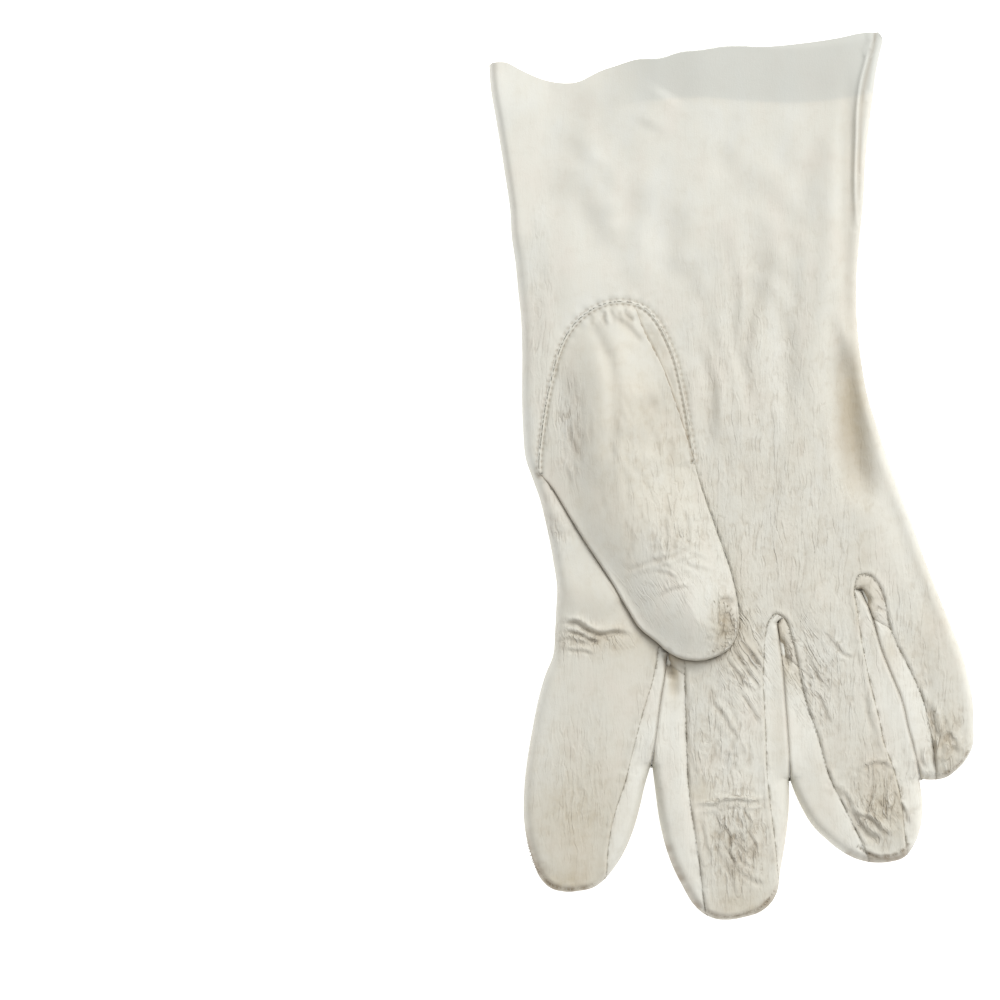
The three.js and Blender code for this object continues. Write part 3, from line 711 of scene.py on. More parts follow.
def in_cuff_corner(spots):
    low, high = in_plan([(500, 262), (500, 235)])[:, 1]
    return np.clip((spots[:, 1] - low) / (high - low), 0, 1)


def cuff_corner_rise(spots):
    """The cuff's corner at the forefinger side curls up to its edge."""
    far, side, _ = beside(spots, cuff_curl_line, 20.0)
    beyond = np.where((side < 0) & (far < 19.9), far, 0)
    return CURL_SLOPE * (np.sqrt(beyond**2 + 0.6) - 0.77) * in_cuff_corner(spots)


def fingertip_relief(spots, rng):
    """The puckered seams that close the fingertips, and the worn, soiled rims round them, darkened too with
    painted shade where they turn away from the light.
    """
    height, dark = np.zeros((2, len(spots)))
    for pixels in tip_seams.values():
        far, _, share = beside(spots, drawn(pixels), 3.0)
        pull = fade(share, 0.2) * np.clip(0.6 + 0.5 * wavering(share * 20, rng, 1.2, 7.0), 0, 1.5)
        height += pull * (0.22 * bell(far - 0.75, 0.35) - 0.4 * bell(far, 0.28))
        dark += 1.1 * pull * bell(far, 0.4)
    for pixels, breadth, strength in worn_and_shaded_rims:
        far, _, share = beside(spots, drawn(pixels), 4.0)
        worn = strength * fade(share, 0.2) * bell(far, 1.9 * breadth)
        dark += 1.3 * worn * np.clip(0.8 + 0.25 * wavering(share * 30, rng, 2.0, 9.0), 0.3, 1.3)
    return height, dark


def gusset_relief(spots):
    """The seams that join each gusset to its strips."""
    height, dark = np.zeros((2, len(spots)))
    for _, border in gusset_lines.values():
        far, _, _ = beside(spots, border, 2.0)
        height -= 0.25 * bell(far, 0.4)
        dark += 0.12 * bell(far, 0.4)
    return height, dark


def side_seam_relief(spots):
    """The ridge of the side seam where it runs up to the cuff's edge, with a groove beside it."""
    far, side, share = beside(spots, side_seam_line, 4.0)
    rest = np.clip((1.02 - share) / 0.25, 0, 1)
    height = rest * (0.75 * bell(far, 0.55) - 0.5 * bell(far * side - 1.15, 0.45) * (side > 0))
    return height, 0.7 * rest * bell(far * side - 1.1, 0.4)


def hem_relief(spots):
    """The hem, a step up to double leather that rises to the cuff's edge, and where it lies: the band painted
    darker with the shade it takes as it rises.
    """
    far, side, _ = beside(spots, hem_fold_line, 16.0)
    above = far * side
    strength = np.clip((spots[:, 0] - in_plan((600, 0))[0]) / 14.0, 0, 1)
    past = np.clip(above / HEM_DEPTH, 0, 1)
    height = strength * HEM_RISE * (np.sqrt(past**2 + 0.01) - 0.1)
    height += 0.12 * strength / (1 + np.exp(-np.clip(above, -9, 9) / 0.35))
    return height * (far < 15.9), strength * np.clip(past / 0.06, 0, 1)


def touching_lines(spots):
    """Painted shade in the closed lines where parts touch: beside the thumb's outer edge and between the
    fingers.
    """
    far, _, share = beside(spots, thumb_free_line, 3.0)
    dark = 0.6 * bell(far, 0.75) * np.clip((share - 0.35) / 0.1, 0, 1)
    crevice = np.full(len(spots), 3.0)
    for line in crevice_lines.values():
        crevice = np.minimum(crevice, beside(spots, line, 3.0)[0])
    return dark + 0.5 * bell(crevice, 0.4)


def palm_surface(spots):
    rng = np.random.default_rng(SEED)
    height = bed_height(spots)
    folds, crease = folded(spots, palm_folds)
    fine, fine_crease = wrinkled(spots, palm_wrinkles, rng)
    edge = np.clip((height - EDGE_HEIGHT) / 3.0, 0, 1)
    clear = np.clip(beside(spots, thumb_free_line, 4.0)[0] / 2.5, 0, 1) * ~inside(spots, thumb_loop)
    height = height + edge * (folds + clear * (fine + uneven(spots, rng, 110, 11.0, 0.3)))
    height -= pressed_by_thumb(spots)
    crease = crease + fine_crease + touching_lines(spots)
    for line in seam_lines.values():
        relief, dark = seam_relief(spots, line, SEED + len(line))
        height += relief * edge
        crease = crease + 0.27 * dark
    for relief, dark in (
        fingertip_relief(spots, rng), gusset_relief(spots), welt_relief(spots), side_seam_relief(spots),
    ):
        height += relief
        crease = crease + dark
    height += cuff_corner_rise(spots) * edge
    hem_height, hem_shade_band = hem_relief(spots)
    height += hem_height
    marks = [spotted(spots, spots_of) for spots_of in (palm_stains_and_shade, fine_lines, slanting_lines)]
    return height, np.clip(crease, 0, 1.3), *marks, hem_shade_band


def strip_surface(spots):
    """The strips between the fingers: handled less than the palm, so cleaner and smoother, with their own
    stains and painted shade added.
    """
    height, crease, stain_and_shade, wrinkle, slant, hem = palm_surface(spots)
    stain_and_shade = np.clip(0.3 * stain_and_shade + spotted(spots, strip_stains_and_shade), 0, 1)
    return height, crease, stain_and_shade, 0.7 * wrinkle, 0.7 * slant, hem


def back_surface(spots):
    far = np.full(len(spots), 12.0)
    for line in [*silhouettes, *crevice_lines.values()]:
        far = np.minimum(far, beside(spots, line, 12.0)[0])
    height = edge_height(spots) * (1 - rounded(far, UNDER_RADIUS))
    return height, *np.zeros((5, len(spots)))


# Shape of the thumb

thumb_free_line = drawn(thumb_free_edge)
thumb_fold_line = drawn(thumb_fold, 0.7)
thumb_loop = np.concatenate([thumb_seam_line, thumb_free_line[1:-1]])


def thumb_tube_loop():
    """The puffed part: left of the fold beside the seam, down to the tip."""
    top = int(np.hypot(*(thumb_seam_line - thumb_fold_line[0]).T).argmin())
    return np.concatenate([thumb_seam_line[: top + 1], thumb_fold_line, thumb_free_line[1:-1]])


def thumb_edge_height(share, seam):
    """Height of the free edge over the palm: lower on the outer side than on the forefinger's side."""
    side = np.interp(share, (0.0, 0.2, 0.42, 0.55, 0.7, 1.0), (0.8, 0.9, 1.1, 0.8, 0.35, 0.35))
    return side * np.clip(seam / 5.0, 0, 1)


def thumb_surface(spots):
    rng = np.random.default_rng(SEED + 1)
    free, _, share = beside(spots, thumb_free_line, 30.0)
    fold, _, _ = beside(spots, thumb_fold_line, 30.0)
    seam, _, _ = beside(spots, thumb_seam_line, 40.0)
    puffed = inside(spots, thumb_tube_loop())
    edge = np.minimum(free, np.where(puffed, fold, free))
    nearest_fold = puffed & (fold < free)
    share = np.where(nearest_fold, 0.0, share)
    low_edge = np.where(nearest_fold, np.clip(seam / 2.2, 0, 1), thumb_edge_height(share, seam))
    crisp = np.interp(share, (0.0, 0.35, 0.5, 0.65, 1.0), (0.24, 0.3, 0.4, 0.2, 0.13))
    grown = 1 - np.exp(-((seam / 12.0) ** 1.4))
    body = crisp * rounded(edge, 0.9) + (1 - crisp) * (1 - np.exp(-((edge / 8.0) ** 1.5)))
    rise = low_edge + (THUMB_RISE * grown - low_edge) * body
    rise = np.where(puffed, rise, 0)
    folds, crease = folded(spots, thumb_folds)
    fine, fine_crease = wrinkled(spots, thumb_wrinkles, rng)
    quiet = np.clip(edge / 1.6, 0, 1) * np.clip(seam / 2.0, 0, 1)
    height = bed_height(spots) + rise + quiet * (folds + fine + uneven(spots, rng, 70, 8.0, 0.3))
    crease = crease + fine_crease
    relief, dark = welt_relief(spots)
    height += relief
    # Painted shade in the fold's crease beside the seam and along the outer free edge, where the thumb lies
    # on the palm
    crease = crease + dark + 1.1 * bell(fold, 0.3) * ~puffed
    outer = np.clip((share - 0.35) / 0.1, 0, 1) * ~nearest_fold
    crease = crease + 0.6 * outer * bell(free, 0.4)
    marks = [spotted(spots, spots_of) for spots_of in (thumb_stains, fine_lines, slanting_lines)]
    return height, np.clip(crease, 0, 1.3), *marks, np.zeros(len(spots))


def thumb_under_surface(spots):
    free, _, share = beside(spots, thumb_free_line, 30.0)
    seam, _, _ = beside(spots, thumb_seam_line, 40.0)
    low_edge = thumb_edge_height(share, seam)
    height = bed_height(spots) + np.minimum(THUMB_GAP, low_edge)
    height += np.maximum(low_edge - THUMB_GAP, 0) * (1 - rounded(free, 2.0))
    height -= (0.5 + 0.85 * np.clip(1.7 - seam / 10, 0, 1)) * np.clip(free / 0.8, 0, 1)
    return height, *np.zeros((5, len(spots)))


# Sheets of leather: points in plan, joined by triangles and lifted to their height


def lattice(loop, spacing):
    low, high = loop.min(axis=0), loop.max(axis=0)
    rows = np.arange(low[1], high[1], spacing * 0.866)
    columns = np.arange(low[0], high[0], spacing)
    x = columns[None] + spacing / 2 * (np.arange(len(rows)) % 2)[:, None]
    y = np.repeat(rows[:, None], len(columns), axis=1)
    spots = np.stack([x.ravel(), y.ravel()], axis=1)
    return spots + np.random.default_rng(SEED).normal(size=spots.shape) * spacing * 0.06


def layers(line, distances):
    sides = [line + sign * distance * aside(line) for distance in distances for sign in (-1, 1)]
    reach = np.concatenate([np.full(len(line), distance) for distance in distances for sign in (-1, 1)])
    return np.concatenate(sides), reach


def free_points(loop, lines, edge_layers, line_layers, spacing):
    """Points inside a loop: rows beside its edge and its lines, and an even lattice between them."""
    closed = np.concatenate([loop, loop[:1]])
    kept = []
    tracks = [(closed, edge_layers)] + [(line, line_layers) for line in lines]
    for line, distances in tracks:
        spots, reach = layers(line, distances)
        spare = np.ones(len(spots), bool)
        for other, _ in tracks:
            spare &= beside(spots, other, 6.0)[0] > np.minimum(reach, 6.0) * 0.93 - 1e-6
        kept.append(spots[spare & inside(spots, loop)])
    spots = lattice(loop, spacing)
    spots = spots[inside(spots, loop)]
    for line, distances in tracks:
        spots = spots[beside(spots, line, 8.0)[0] > distances[-1] + 0.55 * spacing]
    return np.concatenate(kept + [spots])


def triangles_in(loop, lines, free):
    """Triangles over a loop whose edges keep to the loop and to the lines in it."""
    spots, edges = [loop], [(i, (i + 1) % len(loop)) for i in range(len(loop))]
    count = len(loop)
    for line in lines:
        spots.append(line)
        edges += [(count + i, count + i + 1) for i in range(len(line) - 1)]
        count += len(line)
    spots.append(free)
    points = np.concatenate(spots)
    made = delaunay_2d_cdt([tuple(p) for p in points.tolist()], edges, [], 0, 1e-4, False)
    corners = np.array([tuple(v) for v in made[0]])
    faces = np.array([f for f in made[2] if len(f) == 3])
    centres = corners[faces].mean(axis=1)
    kept = inside(centres, loop)
    return corners, faces[kept], centres[kept]


def creased(spots):
    """Where the palm side is so wrinkled that it needs finer triangles."""
    fine = (spotted(spots, fine_lines) > 0.46) | (spotted(spots, slanting_lines) > 0.46)
    for pixels, breadth, _, _ in palm_folds:
        if breadth < 2:
            fine |= beside(spots, drawn(pixels), 2.5)[0] < 2.0
    return fine


class Sheet:
    """Vertices and triangles of one piece's outer surface, gathered side by side."""

    def __init__(self):
        self.at = {}
        self.places = []
        self.marks = []
        self.faces = []

    def add(self, corners, faces, surface, shared=(), below=False):
        """Adds one side. Corners that lie in shared are joined with those already there."""
        used = np.unique(faces)
        height, *marks = surface(corners[used])
        number = {}
        for place, index in enumerate(used):
            x, y = corners[index]
            key = (round(float(x), 3), round(float(y), 3))
            known = self.at.get(key) if key in shared else None
            if known is None:
                known = len(self.places)
                self.places.append((x, y, height[place]))
                self.marks.append([mark[place] for mark in marks])
                if key in shared:
                    self.at[key] = known
            number[index] = known
        for a, b, c in faces:
            pa, pb, pc = corners[a], corners[b], corners[c]
            upward = (pb[0] - pa[0]) * (pc[1] - pa[1]) - (pb[1] - pa[1]) * (pc[0] - pa[0]) > 0
            order = (a, b, c) if upward != below else (a, c, b)
            self.faces.append(tuple(number[i] for i in order))


def keys_of(points):
    return {(round(float(x), 3), round(float(y), 3)) for x, y in points}


def piece_from(name, sheet, hem=False):
    mesh = bpy.data.meshes.new(name)
    places = np.array(sheet.places) * 0.001
    mesh.from_pydata(places.tolist(), [], sheet.faces)
    for column, mark in enumerate(("crease", "stain_and_shade", "wrinkle", "slant", "hem")):
        layer = mesh.attributes.new(mark, "FLOAT", "POINT")
        layer.data.foreach_set("value", np.array(sheet.marks, np.float32)[:, column])
    piece = bpy.data.objects.new(name, mesh)
    bpy.context.scene.collection.objects.link(piece)
    thick = piece.modifiers.new("leather", "SOLIDIFY")
    thick.thickness = LEATHER * 0.001
    thick.offset = -1
    if hem:
        group = piece.vertex_groups.new(name="hem")
        far, _, _ = beside(np.array(sheet.places)[:, :2], mouth_edge, HEM_DEPTH)
        for index in np.flatnonzero(far < HEM_DEPTH - 0.5):
            group.add([int(index)], 1.0, "REPLACE")
        for index in np.flatnonzero(far >= HEM_DEPTH - 0.5):
            group.add([int(index)], LEATHER / HEM_LEATHER, "REPLACE")
        thick.thickness = HEM_LEATHER * 0.001
        thick.vertex_group = "hem"
    shaped = bpy.data.meshes.new_from_object(piece.evaluated_get(bpy.context.evaluated_depsgraph_get()))
    piece.modifiers.clear()
    piece.data = shaped
    piece.vertex_groups.clear()
    shaped.name = name
    shaped.polygons.foreach_set("use_smooth", [True] * len(shaped.polygons))
    return piece


# The palm side is cut into trank, strips and gussets, the back into trank and strips

gusset_lines, gusset_loops = {}, {}
for name in gussets:
    along_crevice, along_seam = gusset_loop(name)
    gusset_loops[name] = np.concatenate([along_crevice, along_seam])
    gusset_lines[name] = [
        np.array([along_crevice[-1], along_seam[0]]),
        even_steps(np.array([along_crevice[0], along_seam[-1]]), 0.7),
    ]

flat_lines = [line for lines in gusset_lines.values() for line in lines]
thumb_hole_loop = np.concatenate([thumb_hole, thumb_hole[:1]])
top_lines = [
    *seam_lines.values(), *flat_lines, drawn(side_seam[1:], 0.7),
    *[drawn(pixels, 0.5) for pixels in tip_seams.values()], thumb_hole_loop,
]
top_plain = free_points(outline, top_lines, EDGE_ROWS, SEAM_ROWS, PLAIN_SPACING)
top_fine = free_points(outline, top_lines, EDGE_ROWS, SEAM_ROWS, FINE_SPACING)
top_free = np.concatenate([top_plain[~creased(top_plain)], top_fine[creased(top_fine)]])
far_under = inside(top_free, thumb_loop) & (beside(top_free, thumb_free_line, 6.0)[0] > 4.5)
keep = ~far_under | (np.arange(len(top_free)) % 7 == 0)
top_corners, top_faces, top_centres = triangles_in(outline, top_lines, top_free[keep])

back_free = free_points(outline, list(back_lines.values()), BACK_EDGE_ROWS, BACK_SEAM_ROWS, COARSE_SPACING)
back_corners, back_faces, back_centres = triangles_in(outline, list(back_lines.values()), back_free)

in_hole = inside(top_centres, thumb_hole)
in_strip = {name: inside(top_centres, strip_loop(name)) for name in fork_seams}
in_gusset = {name: inside(top_centres, gusset_loops[name]) & in_strip[name] for name in fork_seams}
in_back_strip = {name: inside(back_centres, back_strip_loop(name)) for name in fork_seams}

edge_keys = keys_of(closed_edge)
trank_sheet = Sheet()
any_strip = np.any(list(in_strip.values()), axis=0)
trank_sheet.add(top_corners, top_faces[~any_strip & ~in_hole], palm_surface, edge_keys)
any_back_strip = np.any(list(in_back_strip.values()), axis=0)
trank_sheet.add(back_corners, back_faces[~any_back_strip], back_surface, edge_keys, below=True)
trank = piece_from("trank_leather", trank_sheet, hem=True)

strips, gusset_pieces = {}, {}
for name in fork_seams:
    sheet = Sheet()
    sheet.add(top_corners, top_faces[in_strip[name] & ~in_gusset[name]], strip_surface, edge_keys)
    sheet.add(back_corners, back_faces[in_back_strip[name]], back_surface, edge_keys, below=True)
    strips[name] = piece_from("fourchette_" + name + "_leather", sheet)
    sheet = Sheet()
    sheet.add(top_corners, top_faces[in_gusset[name]], palm_surface, edge_keys)
    gusset_pieces[name] = piece_from("quirk_" + name + "_leather", sheet)

thumb_free = free_points(thumb_loop, [thumb_fold_line], THUMB_EDGE_ROWS, THUMB_FOLD_ROWS, THUMB_SPACING)
thumb_corners, thumb_faces, _ = triangles_in(thumb_loop, [thumb_fold_line], thumb_free)
under_loop = np.concatenate([thumb_free_line, thumb_hole_line[::-1][1:-1]])
under_free = free_points(under_loop, [], THUMB_UNDER_ROWS, BACK_SEAM_ROWS, COARSE_SPACING)
under_corners, under_faces, _ = triangles_in(under_loop, [], under_free)
thumb_sheet = Sheet()
thumb_keys = keys_of(thumb_free_line)
thumb_sheet.add(thumb_corners, thumb_faces, thumb_surface, thumb_keys)
thumb_sheet.add(under_corners, under_faces, thumb_under_surface, thumb_keys, below=True)
thumb = piece_from("thumb_leather", thumb_sheet)


# Stitches


def stitch_tree():
    """Small thread beads set along lines, each lying along its line or turned across it."""
    tree = bpy.data.node_groups.new("stitches along lines", "GeometryNodeTree")
    face = tree.interface
    face.new_socket("Geometry", in_out="INPUT", socket_type="NodeSocketGeometry")
    for name, kind in (
        ("Pitch", "Float"), ("Length", "Float"), ("Thickness", "Float"), ("Across", "Float"),
        ("Seed", "Int"), ("Thread", "Material"),
    ):
        face.new_socket(name, in_out="INPUT", socket_type="NodeSocket" + kind)
    face.new_socket("Geometry", in_out="OUTPUT", socket_type="NodeSocketGeometry")
    made = {}

    def add(label, kind, **settings):
        made[label] = tree.nodes.new(kind)
        for name, value in settings.items():
            setattr(made[label], name, value)
        return made[label]

    def link(source, output, target, entry):
        tree.links.new(made[source].outputs[output], made[target].inputs[entry])

    add("in", "NodeGroupInput")
    add("curve", "GeometryNodeMeshToCurve")
    add("steps", "GeometryNodeResampleCurve", mode="LENGTH")
    add("bead", "GeometryNodeMeshUVSphere").inputs["Radius"].default_value = 0.5
    made["bead"].inputs["Segments"].default_value = 6
    made["bead"].inputs["Rings"].default_value = 4
    add("tangent", "GeometryNodeInputTangent")
    add("cross", "ShaderNodeVectorMath", operation="CROSS_PRODUCT").inputs[1].default_value = (0, 0, 1)
    add("turned", "ShaderNodeMix", data_type="VECTOR")
    add("aim", "FunctionNodeAlignRotationToVector", axis="Z")
    add("jitter", "FunctionNodeRandomValue", data_type="FLOAT")
    made["jitter"].inputs[2].default_value = 0.75
    made["jitter"].inputs[3].default_value = 1.2
    add("long", "ShaderNodeMath", operation="MULTIPLY")
    add("size", "ShaderNodeCombineXYZ")
    add("set", "GeometryNodeInstanceOnPoints")
    add("real", "GeometryNodeRealizeInstances")
    add("dressed", "GeometryNodeSetMaterial")
    add("out", "NodeGroupOutput")
    link("in", "Geometry", "curve", "Mesh")
    link("curve", "Curve", "steps", "Curve")
    link("in", "Pitch", "steps", "Length")
    link("steps", "Curve", "set", "Points")
    link("bead", "Mesh", "set", "Instance")
    link("tangent", "Tangent", "cross", 0)
    link("in", "Across", "turned", 0)
    link("tangent", "Tangent", "turned", 4)
    link("cross", "Vector", "turned", 5)
    link("turned", 1, "aim", "Vector")
    link("aim", "Rotation", "set", "Rotation")
    link("in", "Seed", "jitter", "Seed")
    link("in", "Length", "long", 0)
    link("jitter", 1, "long", 1)
    link("in", "Thickness", "size", "X")
    link("in", "Thickness", "size", "Y")
    link("long", "Value", "size", "Z")
    link("size", "Vector", "set", "Scale")
    link("set", "Instances", "real", "Geometry")
    link("real", "Geometry", "dressed", "Geometry")
    link("in", "Thread", "dressed", "Material")
    link("dressed", "Geometry", "out", 0)
    return tree


def stitched(name, lines, surface, pitch, length, thickness, across=0.0, lift=0.0):
    """Stitches along lines that lie on a surface."""
    mesh = bpy.data.meshes.new(name)
    corners, edges = [], []
    for line in lines:
        height = surface(line)[0] + lift
        first = len(corners)
        corners += [(x * 0.001, y * 0.001, z * 0.001) for (x, y), z in zip(line, height)]
        edges += [(first + i, first + i + 1) for i in range(len(line) - 1)]
    mesh.from_pydata(corners, edges, [])
    piece = bpy.data.objects.new(name, mesh)
    bpy.context.scene.collection.objects.link(piece)
    maker = piece.modifiers.new("stitches", "NODES")
    maker.node_group = stitches_on_lines
    values = {
        "Pitch": pitch * 0.001, "Length": length * 0.001, "Thickness": thickness * 0.001, "Across": across,
        "Seed": SEED, "Thread": thread,
    }
    for entry in stitches_on_lines.interface.items_tree:
        if entry.in_out == "INPUT" and entry.name in values:
            maker[entry.identifier] = values[entry.name]
    shaped = bpy.data.meshes.new_from_object(piece.evaluated_get(bpy.context.evaluated_depsgraph_get()))
    piece.modifiers.clear()
    piece.data = shaped
    shaped.name = name
    shaped.polygons.foreach_set("use_smooth", [True] * len(shaped.polygons))
    return piece


# Materials


class Number:
    """A shader value that can be added, multiplied and so on."""

    def __init__(self, shade, socket):
        self.shade = shade
        self.socket = socket

    def join(self, operation, other=None, swapped=False):
        node = self.shade.tree.nodes.new("ShaderNodeMath")
        node.operation = operation
        values = [self, other] if not swapped else [other, self]
        for place, value in enumerate(values):
            if isinstance(value, Number):
                self.shade.tree.links.new(value.socket, node.inputs[place])
            elif value is not None:
                node.inputs[place].default_value = value
        return Number(self.shade, node.outputs[0])

    def __add__(self, other):
        return self.join("ADD", other)

    def __radd__(self, other):
        return self.join("ADD", other, True)

    def __sub__(self, other):
        return self.join("SUBTRACT", other)

    def __rsub__(self, other):
        return self.join("SUBTRACT", other, True)

    def __mul__(self, other):
        return self.join("MULTIPLY", other)

    def __rmul__(self, other):
        return self.join("MULTIPLY", other, True)

    def __truediv__(self, other):
        return self.join("DIVIDE", other)

    def held(self, low=0.0, high=1.0):
        return self.join("MAXIMUM", low).join("MINIMUM", high)


class Shade:
    """The node tree of one material."""

    def __init__(self, name):
        self.material = bpy.data.materials.new(name)
        self.material.use_nodes = True
        self.tree = self.material.node_tree
        self.tree.nodes.clear()

    def node(self, kind, settings=None, **inputs):
        node = self.tree.nodes.new(kind)
        for name, value in (settings or {}).items():
            setattr(node, name, value)
        for name, value in inputs.items():
            socket = next(s for s in node.inputs if s.enabled and s.name == name.replace("_", " "))
            if isinstance(value, Number):
                self.tree.links.new(value.socket, socket)
            elif isinstance(value, bpy.types.NodeSocket):
                self.tree.links.new(value, socket)
            else:
                socket.default_value = value
        return node

    def number(self, kind, output, settings=None, **inputs):
        return Number(self, self.node(kind, settings, **inputs).outputs[output])

    def mark(self, name):
        return self.number("ShaderNodeAttribute", "Fac", {"attribute_name": name})

    def scaled(self, where, scale):
        node = self.node("ShaderNodeVectorMath", {"operation": "MULTIPLY"})
        self.tree.links.new(where, node.inputs[0])
        node.inputs[1].default_value = scale
        return node.outputs[0]

    def noise(self, where, scale, detail=3.0, roughness=0.5):
        return self.number(
            "ShaderNodeTexNoise", "Fac", None, Vector=where, Scale=scale, Detail=detail, Roughness=roughness
        )

    def mix(self, share, first, second):
        node = self.tree.nodes.new("ShaderNodeMix")
        node.data_type = "RGBA"
        self.tree.links.new(share.socket, node.inputs[0])
        for socket, value in ((node.inputs[6], first), (node.inputs[7], second)):
            if isinstance(value, bpy.types.NodeSocket):
                self.tree.links.new(value, socket)
            else:
                socket.default_value = (*value, 1.0)
        return node.outputs[2]


def kid_leather(name, light, shaded, pink, cool, roughness):
    """Dressed kidskin: smooth, finely grained and wrinkled, dull white, soiled where it is handled, with
    painted shade in its creases, crevices, dents and hem and painted highlights on its wrinkles' lips.
    """
    shade = Shade(name)
    where = shade.node("ShaderNodeTexCoord").outputs["Object"]
    crease, stain_and_shade, wrinkle = shade.mark("crease"), shade.mark("stain_and_shade"), shade.mark("wrinkle")
    warp = shade.node("ShaderNodeTexNoise", None, Vector=where, Scale=140.0, Detail=2.0).outputs["Color"]

    def hairlines(turn, scale):
        """Long thin wrinkles, all lying one way."""
        turned = shade.node("ShaderNodeVectorRotate", {"rotation_type": "Z_AXIS"}, Vector=where, Angle=turn)
        bent = shade.node("ShaderNodeVectorMath", {"operation": "MULTIPLY_ADD"})
        shade.tree.links.new(warp, bent.inputs[0])
        bent.inputs[1].default_value = (0.0022, 0.0006, 0.0022)
        shade.tree.links.new(shade.scaled(turned.outputs[0], (1.0, 0.13, 1.0)), bent.inputs[2])
        waves = shade.noise(bent.outputs[0], scale, 1.4, 0.5)
        sunk = (1 - (waves - 0.49).join("ABSOLUTE") / 0.06).held()
        raised = (1 - (waves - 0.6).join("ABSOLUTE") / 0.05).held()
        return sunk, raised

    upright, upright_lips = hairlines(0.0, 620.0)
    slanted, slanted_lips = hairlines(-0.55, 760.0)
    crazing = shade.noise(shade.scaled(where, (1.0, 0.3, 1.0)), 1700.0, 3.0, 0.6)
    clouds = shade.noise(where, 45.0, 3.0)
    tints = shade.noise(shade.scaled(where, (1.0, 0.5, 1.0)), 120.0, 3.0, 0.6)
    streaks = shade.noise(shade.scaled(where, (1.0, 0.1, 1.0)), 1500.0, 4.0, 0.62)
    bands = shade.noise(shade.scaled(where, (1.0, 0.13, 1.0)), 420.0, 3.0, 0.6)
    blotches = shade.noise(where, 320.0, 4.0, 0.65)
    grain = shade.number("ShaderNodeTexVoronoi", "Distance", None, Vector=where, Scale=2300.0)
    colour = shade.mix(((clouds - 0.35) * 2.4).held(), shaded, light)
    colour = shade.mix(((tints - 0.5) * 2.2).held(0.0, 0.4), colour, pink)
    colour = shade.mix(((0.5 - tints) * 2.2).held(0.0, 0.35), colour, cool)
    colour = shade.mix(((blotches - 0.5) * (0.5 + 1.4 * wrinkle)).held(0.0, 0.22), colour, (0.46, 0.41, 0.33))
    # Stains of use, and painted shade in the dents and pits that the stain mark also covers
    soil_and_shade = (stain_and_shade * (0.45 + 1.1 * blotches)).held()
    colour = shade.mix(soil_and_shade * 0.7, colour, (0.44, 0.375, 0.255))
    colour = shade.mix(((streaks - 0.56) * (0.4 + 2.0 * wrinkle)).held(0.0, 0.16), colour, (0.36, 0.31, 0.24))
    patchy = ((blotches - 0.4) * 5.0).held()
    slant = shade.mark("slant") * 1.3
    folds = upright * wrinkle + slanted * slant
    highlighted_lips = upright_lips * wrinkle + slanted_lips * slant
    # Painted shade in the hairline wrinkles' grooves and painted highlights on their raised lips
    colour = shade.mix((folds * patchy * 0.46).held(), colour, (0.33, 0.27, 0.19))
    colour = shade.mix((highlighted_lips * patchy * 0.5).held(), colour, (0.86, 0.85, 0.79))
    colour = shade.mix(((0.47 - crazing) * 2.6 * wrinkle).held(0.0, 0.3), colour, (0.36, 0.3, 0.22))
    # Painted shade on the hem band, where it rises towards the cuff's edge
    colour = shade.mix((shade.mark("hem") * 0.62).held(), colour, (0.56, 0.57, 0.53))
    # Darker along the crease mark: dark seams and soil, and painted shade in folds, crevices, beside the
    # thumb's edge and on the rims
    colour = shade.mix((crease * 0.6).held(), colour, (0.26, 0.2, 0.13))
    height = grain * 0.02 + streaks * 0.02 + bands * (0.02 + 0.2 * wrinkle)
    height = height + blotches * (0.04 + 0.14 * wrinkle)
    height = height + crazing * (0.02 + 0.5 * wrinkle) + (highlighted_lips * 0.8 - folds) * (0.1 + 0.34 * patchy)
    bump = shade.node("ShaderNodeBump", None, Strength=0.7, Distance=0.001, Height=height)
    rough = (roughness + 0.12 * (blotches - 0.5) + 0.1 * soil_and_shade).held(0.2, 1.0)
    surface = shade.node(
        "ShaderNodeBsdfPrincipled", None, Base_Color=colour, Roughness=rough, Normal=bump.outputs[0]
    )
    surface.inputs["Specular IOR Level"].default_value = 0.34
    end = shade.node("ShaderNodeOutputMaterial")
    shade.tree.links.new(surface.outputs[0], end.inputs[0])
    return shade.material


palm_kid = kid_leather(
    "kidskin_of_hand_and_thumb",
    (0.70, 0.69, 0.625), (0.64, 0.628, 0.56), (0.665, 0.62, 0.55), (0.665, 0.675, 0.64), 0.56
)
# Lighter than the palm's kidskin: painted light on the fingers' sides, which catch the light
side_kid = kid_leather(
    "kidskin_of_finger_sides",
    (0.755, 0.745, 0.675), (0.705, 0.69, 0.62), (0.725, 0.675, 0.60), (0.72, 0.73, 0.685), 0.58
)
gusset_kid = kid_leather(
    "kidskin_of_gussets",
    (0.70, 0.68, 0.61), (0.64, 0.615, 0.54), (0.67, 0.62, 0.545), (0.67, 0.67, 0.63), 0.6
)
thread = kid_leather(
    "sewing_thread", (0.50, 0.47, 0.40), (0.42, 0.39, 0.32), (0.46, 0.42, 0.35), (0.48, 0.47, 0.43), 0.7
)

for piece, material in (
    [(trank, palm_kid), (thumb, palm_kid)]
    + [(strips[name], side_kid) for name in strips]
    + [(gusset_pieces[name], gusset_kid) for name in gusset_pieces]
):
    piece.data.materials.clear()
    piece.data.materials.append(material)

